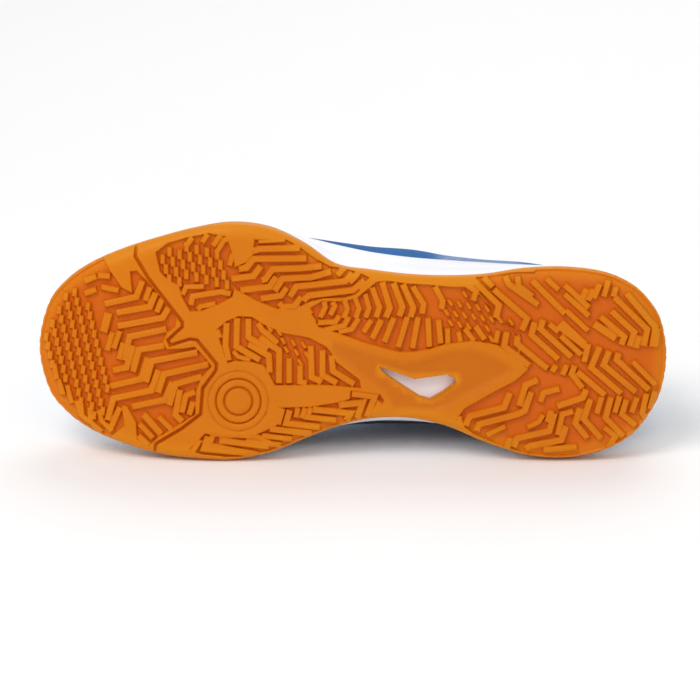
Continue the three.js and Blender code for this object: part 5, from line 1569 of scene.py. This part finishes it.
def textile_material(name, light, dark, threads, skew, roughness=0.85, streaks=None, band=None):
    made, tree, shader = material(name)
    weave = group_node(tree, "weave", weave_group, {"Threads": threads, "Skew": skew})
    grain = group_node(tree, "grain", grain_group, {"Scale": 1500.0, "Blotch Scale": 40.0})
    colour = mixed(tree, weave.outputs["Gap"], light, dark)
    tint = ranged(tree, grain.outputs["Blotch"], 0.3, 0.7, 0.0, 0.35)
    colour = mixed(tree, tint, colour, dark)
    if band is not None:
        low = ranged(tree, attribute(tree, "rib"), 0.32, 0.34, 1.0, 0.0)
        colour = mixed(tree, product(tree, low, attribute(tree, "inner_side")), colour, band)
    if streaks is not None:
        surface = node(tree, "ShaderNodeUVMap", uv_map="surface")
        turned = node(tree, "ShaderNodeMapping", {"Vector": surface.outputs[0], "Rotation": (0, 0, 0.12)})
        lines = node(tree, "ShaderNodeTexWave", {
            "Vector": turned.outputs[0], "Scale": 1.9, "Distortion": 0.4, "Detail": 1.0}, bands_direction="Y")
        mask = ranged(tree, lines.outputs["Fac"], 0.8, 0.9)
        colour = mixed(tree, product(tree, mask, attribute(tree, "streaks")), colour, streaks)
    tree.links.new(colour, shader.inputs["Base Color"])
    shader.inputs["Roughness"].default_value = roughness
    shader.inputs["Sheen Weight"].default_value = 0.06
    shader.inputs["Specular IOR Level"].default_value = 0.2
    bumped(tree, shader, weave.outputs["Height"], 0.5, 0.00025)
    return made


def overlay_material(settings):
    made, tree, shader = material("navy_overlay")
    grain = group_node(tree, "grain", grain_group, {"Scale": 2200.0, "Blotch Scale": 25.0})
    shade = ranged(tree, grain.outputs["Blotch"], 0.35, 0.65)
    colour = mixed(tree, shade, settings.overlay, settings.overlay_shade)
    tree.links.new(colour, shader.inputs["Base Color"])
    tree.links.new(ranged(tree, grain.outputs["Blotch"], 0.3, 0.7, 0.42, 0.55), shader.inputs["Roughness"])
    shader.inputs["Specular IOR Level"].default_value = 0.25
    bumped(tree, shader, grain.outputs["Height"], 0.25, 0.00015)
    return made


def lace_material(settings):
    made, tree, shader = material("white_cord")
    weave = group_node(tree, "weave", weave_group, {"Threads": 14.0, "Skew": 1.0})
    colour = mixed(tree, weave.outputs["Gap"], settings.colour, tuple(0.6 * c for c in settings.colour))
    tree.links.new(colour, shader.inputs["Base Color"])
    shader.inputs["Roughness"].default_value = 0.85
    shader.inputs["Sheen Weight"].default_value = 0.2
    bumped(tree, shader, weave.outputs["Height"], 0.6, 0.0003)
    return made


def thread_material(name, colour):
    made, tree, shader = material(name)
    grain = group_node(tree, "grain", grain_group, {"Scale": 3000.0, "Blotch Scale": 60.0})
    shade = ranged(tree, grain.outputs["Blotch"], 0.3, 0.7, 0.0, 0.5)
    tree.links.new(mixed(tree, shade, colour, tuple(0.5 * c for c in colour)), shader.inputs["Base Color"])
    shader.inputs["Roughness"].default_value = 0.7
    return made


MATERIALS = {}


def finish_of(name, make, *values, **more):
    if name not in MATERIALS:
        MATERIALS[name] = make(*values, **more)
    return MATERIALS[name]


# Settings

def colour_property(name, description, value):
    return FloatVectorProperty(
        name=name, description=description, subtype="COLOR", min=0, max=1, default=value)


def length_property(name, description, value):
    return FloatProperty(
        name=name, description=description, default=value, min=0, unit="LENGTH", precision=5)


def number_property(name, description, value):
    return FloatProperty(name=name, description=description, default=value, min=0)


class CourtShoeSole(bpy.types.PropertyGroup):
    """Sizes and colours of the outsole and midsole"""

    tread_depth: length_property("Tread depth", "Depth of the pockets between the lugs", 0.0022)
    lug_width: length_property("Lug width", "Width of the main lugs on top", 0.0027)
    lug_draft: length_property("Lug draft", "How far a lug's side leans out towards its foot", 0.00055)
    lug_corner: length_property("Lug corner", "How far a lug's top edge is eased", 0.00022)
    gum_top: colour_property("Lug tops", "Gum colour on the lugs", linear(209, 116, 2))
    gum_flush: colour_property("Flat areas", "Gum colour where no lugs stand", linear(199, 106, 2))
    # Painted shade on the pockets' floors, darker than the lug tops
    gum_floor_shade: colour_property("Pockets", "Gum colour on the pockets' floor", linear(205, 96, 2))
    gum_shank: colour_property("Shank", "Gum colour in the sunk waist", linear(190, 96, 2))
    # Painted highlight on the gum's edges, where the thin gum catches the light
    gum_rim_highlight: colour_property("Rims", "Gum colour where it is thin", linear(228, 152, 16))
    foam: colour_property("Foam", "Colour of the midsole", linear(243, 243, 247))
    foam_shade: colour_property("Foam shade", "Its darker patches", linear(234, 234, 240))


class CourtShoeUpper(bpy.types.PropertyGroup):
    """Sizes and colours of the upper, tongue and footbed"""

    textile: colour_property("Textile", "Colour of the upper's textile", linear(28, 102, 170))
    textile_dark: colour_property("Textile gaps", "Colour between its threads", linear(16, 62, 120))
    overlay: colour_property("Overlay", "Colour of the smooth overlays", linear(20, 32, 74))
    overlay_shade: colour_property("Overlay shade", "Their darker patches", linear(15, 25, 60))
    lining: colour_property("Lining", "Colour of the lining and footbed", linear(30, 38, 62))
    lining_dark: colour_property("Lining gaps", "Colour between its threads", linear(16, 20, 36))
    thread: colour_property("Thread", "Colour of the stitches", linear(60, 120, 190))
    stitch_pitch: length_property("Stitch pitch", "From one stitch to the next", 0.0028)
    stitch_length: length_property("Stitch length", "Length of one stitch", 0.0023)
    thread_radius: length_property("Thread radius", "Half the thread's thickness", 0.00028)


class CourtShoeLaces(bpy.types.PropertyGroup):
    """Sizes and colour of the laces"""

    width: length_property("Width", "Width of the flat lace", 0.0055)
    thickness: length_property("Thickness", "Thickness of the flat lace", 0.0013)
    colour: colour_property("Colour", "Colour of the laces", linear(240, 240, 242))


class CourtShoeStage(bpy.types.PropertyGroup):
    """Camera, floor and light"""

    distance: length_property("Camera distance", "From the camera to the sole", 1.9)
    above: number_property("Above the sole", "Camera above the sole's own direction, degrees", 6.0)
    frame_width: length_property("Frame width", "Width of the picture at the sole", 0.3235)
    key: number_property("Key light", "Power of the large light, watts", 15.0)
    fill: number_property("Fill light", "Power of the light beside the camera, watts", 5.0)
    sky: number_property("Sky", "Strength of the light from all round", 0.62)
    floor: colour_property("Floor", "Colour of the floor", (0.95, 0.95, 0.95))


# Operators

# Point of the sole in the middle of the picture, along and across it, in millimetres
FRAME_MIDDLE = (146.9, 1.8)
# The floor, in metres: half its width, how far it goes to the front and back, and its upward bend
FLOOR_REACH = 6.0
FLOOR_BACK = 2.2
FLOOR_BEND = 1.8
BEND_STEPS = 24


def add_camera(scene, target, elevation, distance, frame_width):
    back = Vector((0, -math.cos(elevation), math.sin(elevation)))
    camera = bpy.data.objects.new("camera", bpy.data.cameras.new("camera"))
    camera.data.lens = camera.data.sensor_width * distance / frame_width
    camera.data.clip_start, camera.data.clip_end = 0.05, 50
    camera.location = target + back * distance
    camera.rotation_euler = (-back).to_track_quat("-Z", "Y").to_euler()
    scene.collection.objects.link(camera)
    scene.camera = camera


def add_floor(scene, colour):
    """A pale floor that bends up behind the shoe."""
    profile = [(-FLOOR_REACH, 0.0), (FLOOR_BACK, 0.0)]
    for k in range(1, BEND_STEPS + 1):
        turn = math.pi / 2 * k / BEND_STEPS
        profile.append((FLOOR_BACK + FLOOR_BEND * math.sin(turn), FLOOR_BEND * (1 - math.cos(turn))))
    profile.append((FLOOR_BACK + FLOOR_BEND, FLOOR_REACH))
    count = len(profile)
    mesh = bpy.data.meshes.new("floor")
    points = [(x, y, z) for x in (-FLOOR_REACH, FLOOR_REACH) for y, z in profile]
    mesh.from_pydata(points, [], [(i, i + count, i + count + 1, i + 1) for i in range(count - 1)])
    made, _, shader = material("floor")
    shader.inputs["Base Color"].default_value = (*colour, 1)
    shader.inputs["Roughness"].default_value = 0.7
    mesh.materials.append(made)
    mesh.shade_smooth()
    floor = bpy.data.objects.new("floor", mesh)
    scene.collection.objects.link(floor)


def add_light(scene, name, place, size, power, target):
    light = bpy.data.lights.new(name, "AREA")
    light.size, light.energy = size, power
    lamp = bpy.data.objects.new(name, light)
    lamp.location = place
    lamp.rotation_euler = (target - Vector(place)).to_track_quat("-Z", "Y").to_euler()
    scene.collection.objects.link(lamp)


class COURTSHOE_OT_stage(bpy.types.Operator):
    """Set up the camera, the floor and the lights"""

    bl_idname = "court_shoe.stage"
    bl_label = "Stage"

    def execute(self, context):
        settings = context.scene.court_shoe_stage
        scene = context.scene
        scene.view_settings.view_transform = "Standard"
        target = Vector(placed((*FRAME_MIDDLE, 0.0)))
        elevation = math.asin(-UP[2]) + math.radians(settings.above)
        add_camera(scene, target, elevation, settings.distance, settings.frame_width)
        add_floor(scene, settings.floor)
        add_light(scene, "key", (-0.7, -1.0, 1.5), 0.9, settings.key, target)
        add_light(scene, "fill", (0.6, -2.0, 0.9), 1.6, settings.fill, target)
        add_light(scene, "back", (0.3, 1.2, 1.3), 1.2, settings.key * 0.5, target)
        world = bpy.data.worlds.new("studio")
        world.use_nodes = True
        sky = world.node_tree.nodes["Background"]
        sky.inputs["Color"].default_value = (1, 1, 1, 1)
        sky.inputs["Strength"].default_value = settings.sky
        scene.world = world
        return {"FINISHED"}


class COURTSHOE_OT_outsole(bpy.types.Operator):
    """Mould the rubber outsole with its whole tread"""

    bl_idname = "court_shoe.outsole"
    bl_label = "Outsole"

    def execute(self, context):
        settings = context.scene.court_shoe_sole
        piece = build_outsole(settings, finish_of("gum", gum_material, settings))
        finished(piece, "gum_rubber", "outsole")
        return {"FINISHED"}


class COURTSHOE_OT_midsole(bpy.types.Operator):
    """Build the foam midsole"""

    bl_idname = "court_shoe.midsole"
    bl_label = "Midsole"

    def execute(self, context):
        settings = context.scene.court_shoe_sole
        finished(build_midsole(finish_of("foam", foam_material, settings)), "white_foam", "midsole")
        return {"FINISHED"}


def lining_finish(settings):
    return finish_of(
        "lining", textile_material, "lining_textile", settings.lining, settings.lining_dark, 9.0, 0.5)


class COURTSHOE_OT_insole(bpy.types.Operator):
    """Build the covered footbed"""

    bl_idname = "court_shoe.insole"
    bl_label = "Insole"

    def execute(self, context):
        settings = context.scene.court_shoe_upper
        piece = build_insole(lining_finish(settings))
        finished(piece, "navy_textile", "insole")
        return {"FINISHED"}


class COURTSHOE_OT_upper(bpy.types.Operator):
    """Build the textile upper with its padded collar, and the overlays with their eyelets"""

    bl_idname = "court_shoe.upper"
    bl_label = "Upper and overlays"

    def execute(self, context):
        settings = context.scene.court_shoe_upper
        textile = finish_of(
            "textile", textile_material, "blue_textile", settings.textile, settings.textile_dark, 8.0, 0.5,
            streaks=linear(225, 232, 242), band=settings.overlay)
        smooth_skin = finish_of("overlay", overlay_material, settings)
        pins = eyelet_cutter()
        upper = pierced(build_upper(textile, lining_finish(settings)), pins)
        finished(upper, "blue_textile", "upper")
        for name, side in (("eyestay_outer", 1), ("eyestay_inner", -1)):
            rows = np.linspace(*EYESTAY_ROWS, 110)
            u = rows if side == 1 else RING - rows
            piece = pierced(overlay(name + "_skin", u, eyestay_low, eyestay_high, smooth_skin), pins)
            finished(piece, "navy_overlay", name)
        u = np.linspace(-COUNTER_ROWS, COUNTER_ROWS, 130)
        piece = overlay("heel_counter_skin", u, counter_low, counter_high, smooth_skin)
        finished(piece, "navy_overlay", "heel_counter")
        bpy.data.objects.remove(pins)
        return {"FINISHED"}


class COURTSHOE_OT_tongue(bpy.types.Operator):
    """Build the padded tongue"""

    bl_idname = "court_shoe.tongue"
    bl_label = "Tongue"

    def execute(self, context):
        settings = context.scene.court_shoe_upper
        cover = finish_of(
            "tongue", textile_material, "tongue_textile", settings.textile, settings.textile_dark, 6.0, 0.0)
        finished(build_tongue(cover), "blue_padding", "tongue")
        return {"FINISHED"}


class COURTSHOE_OT_laces(bpy.types.Operator):
    """Run the laces through the eyelets"""

    bl_idname = "court_shoe.laces"
    bl_label = "Laces"

    def execute(self, context):
        settings = context.scene.court_shoe_laces
        piece = build_laces(settings, finish_of("lace", lace_material, settings))
        finished(piece, "white_cord", "laces")
        return {"FINISHED"}


class COURTSHOE_OT_stitching(bpy.types.Operator):
    """Sew the overlays and the collar"""

    bl_idname = "court_shoe.stitching"
    bl_label = "Stitching"

    def execute(self, context):
        settings = context.scene.court_shoe_upper
        thread = finish_of("thread", thread_material, "thread", settings.thread)
        finished(build_stitches(settings, thread), "navy_overlay")
        return {"FINISHED"}


class COURTSHOE_PT_panel(bpy.types.Panel):
    """Court shoe pieces"""

    bl_idname = "COURTSHOE_PT_panel"
    bl_label = "Court Shoe"
    bl_space_type = "VIEW_3D"
    bl_region_type = "UI"
    bl_category = "Court Shoe"

    def draw(self, context):
        for operator in OPERATORS:
            self.layout.operator(operator.bl_idname)
        for key in SETTINGS:
            group = getattr(context.scene, key)
            box = self.layout.box()
            for name in group.__annotations__:
                box.prop(group, name)


SETTINGS = {
    "court_shoe_sole": CourtShoeSole,
    "court_shoe_upper": CourtShoeUpper,
    "court_shoe_laces": CourtShoeLaces,
    "court_shoe_stage": CourtShoeStage,
}
OPERATORS = (
    COURTSHOE_OT_stage, COURTSHOE_OT_outsole, COURTSHOE_OT_midsole, COURTSHOE_OT_insole, COURTSHOE_OT_upper,
    COURTSHOE_OT_tongue, COURTSHOE_OT_laces, COURTSHOE_OT_stitching,
)


def register():
    for kind in (*SETTINGS.values(), *OPERATORS, COURTSHOE_PT_panel):
        bpy.utils.register_class(kind)
    for key, kind in SETTINGS.items():
        setattr(bpy.types.Scene, key, PointerProperty(type=kind))


def unregister():
    for key in SETTINGS:
        delattr(bpy.types.Scene, key)
    for kind in (COURTSHOE_PT_panel, *reversed(OPERATORS), *SETTINGS.values()):
        bpy.utils.unregister_class(kind)


def main():
    register()
    for operator in OPERATORS:
        group, name = operator.bl_idname.split(".")
        getattr(getattr(bpy.ops, group), name)()


if __name__ == "__main__":
    main()
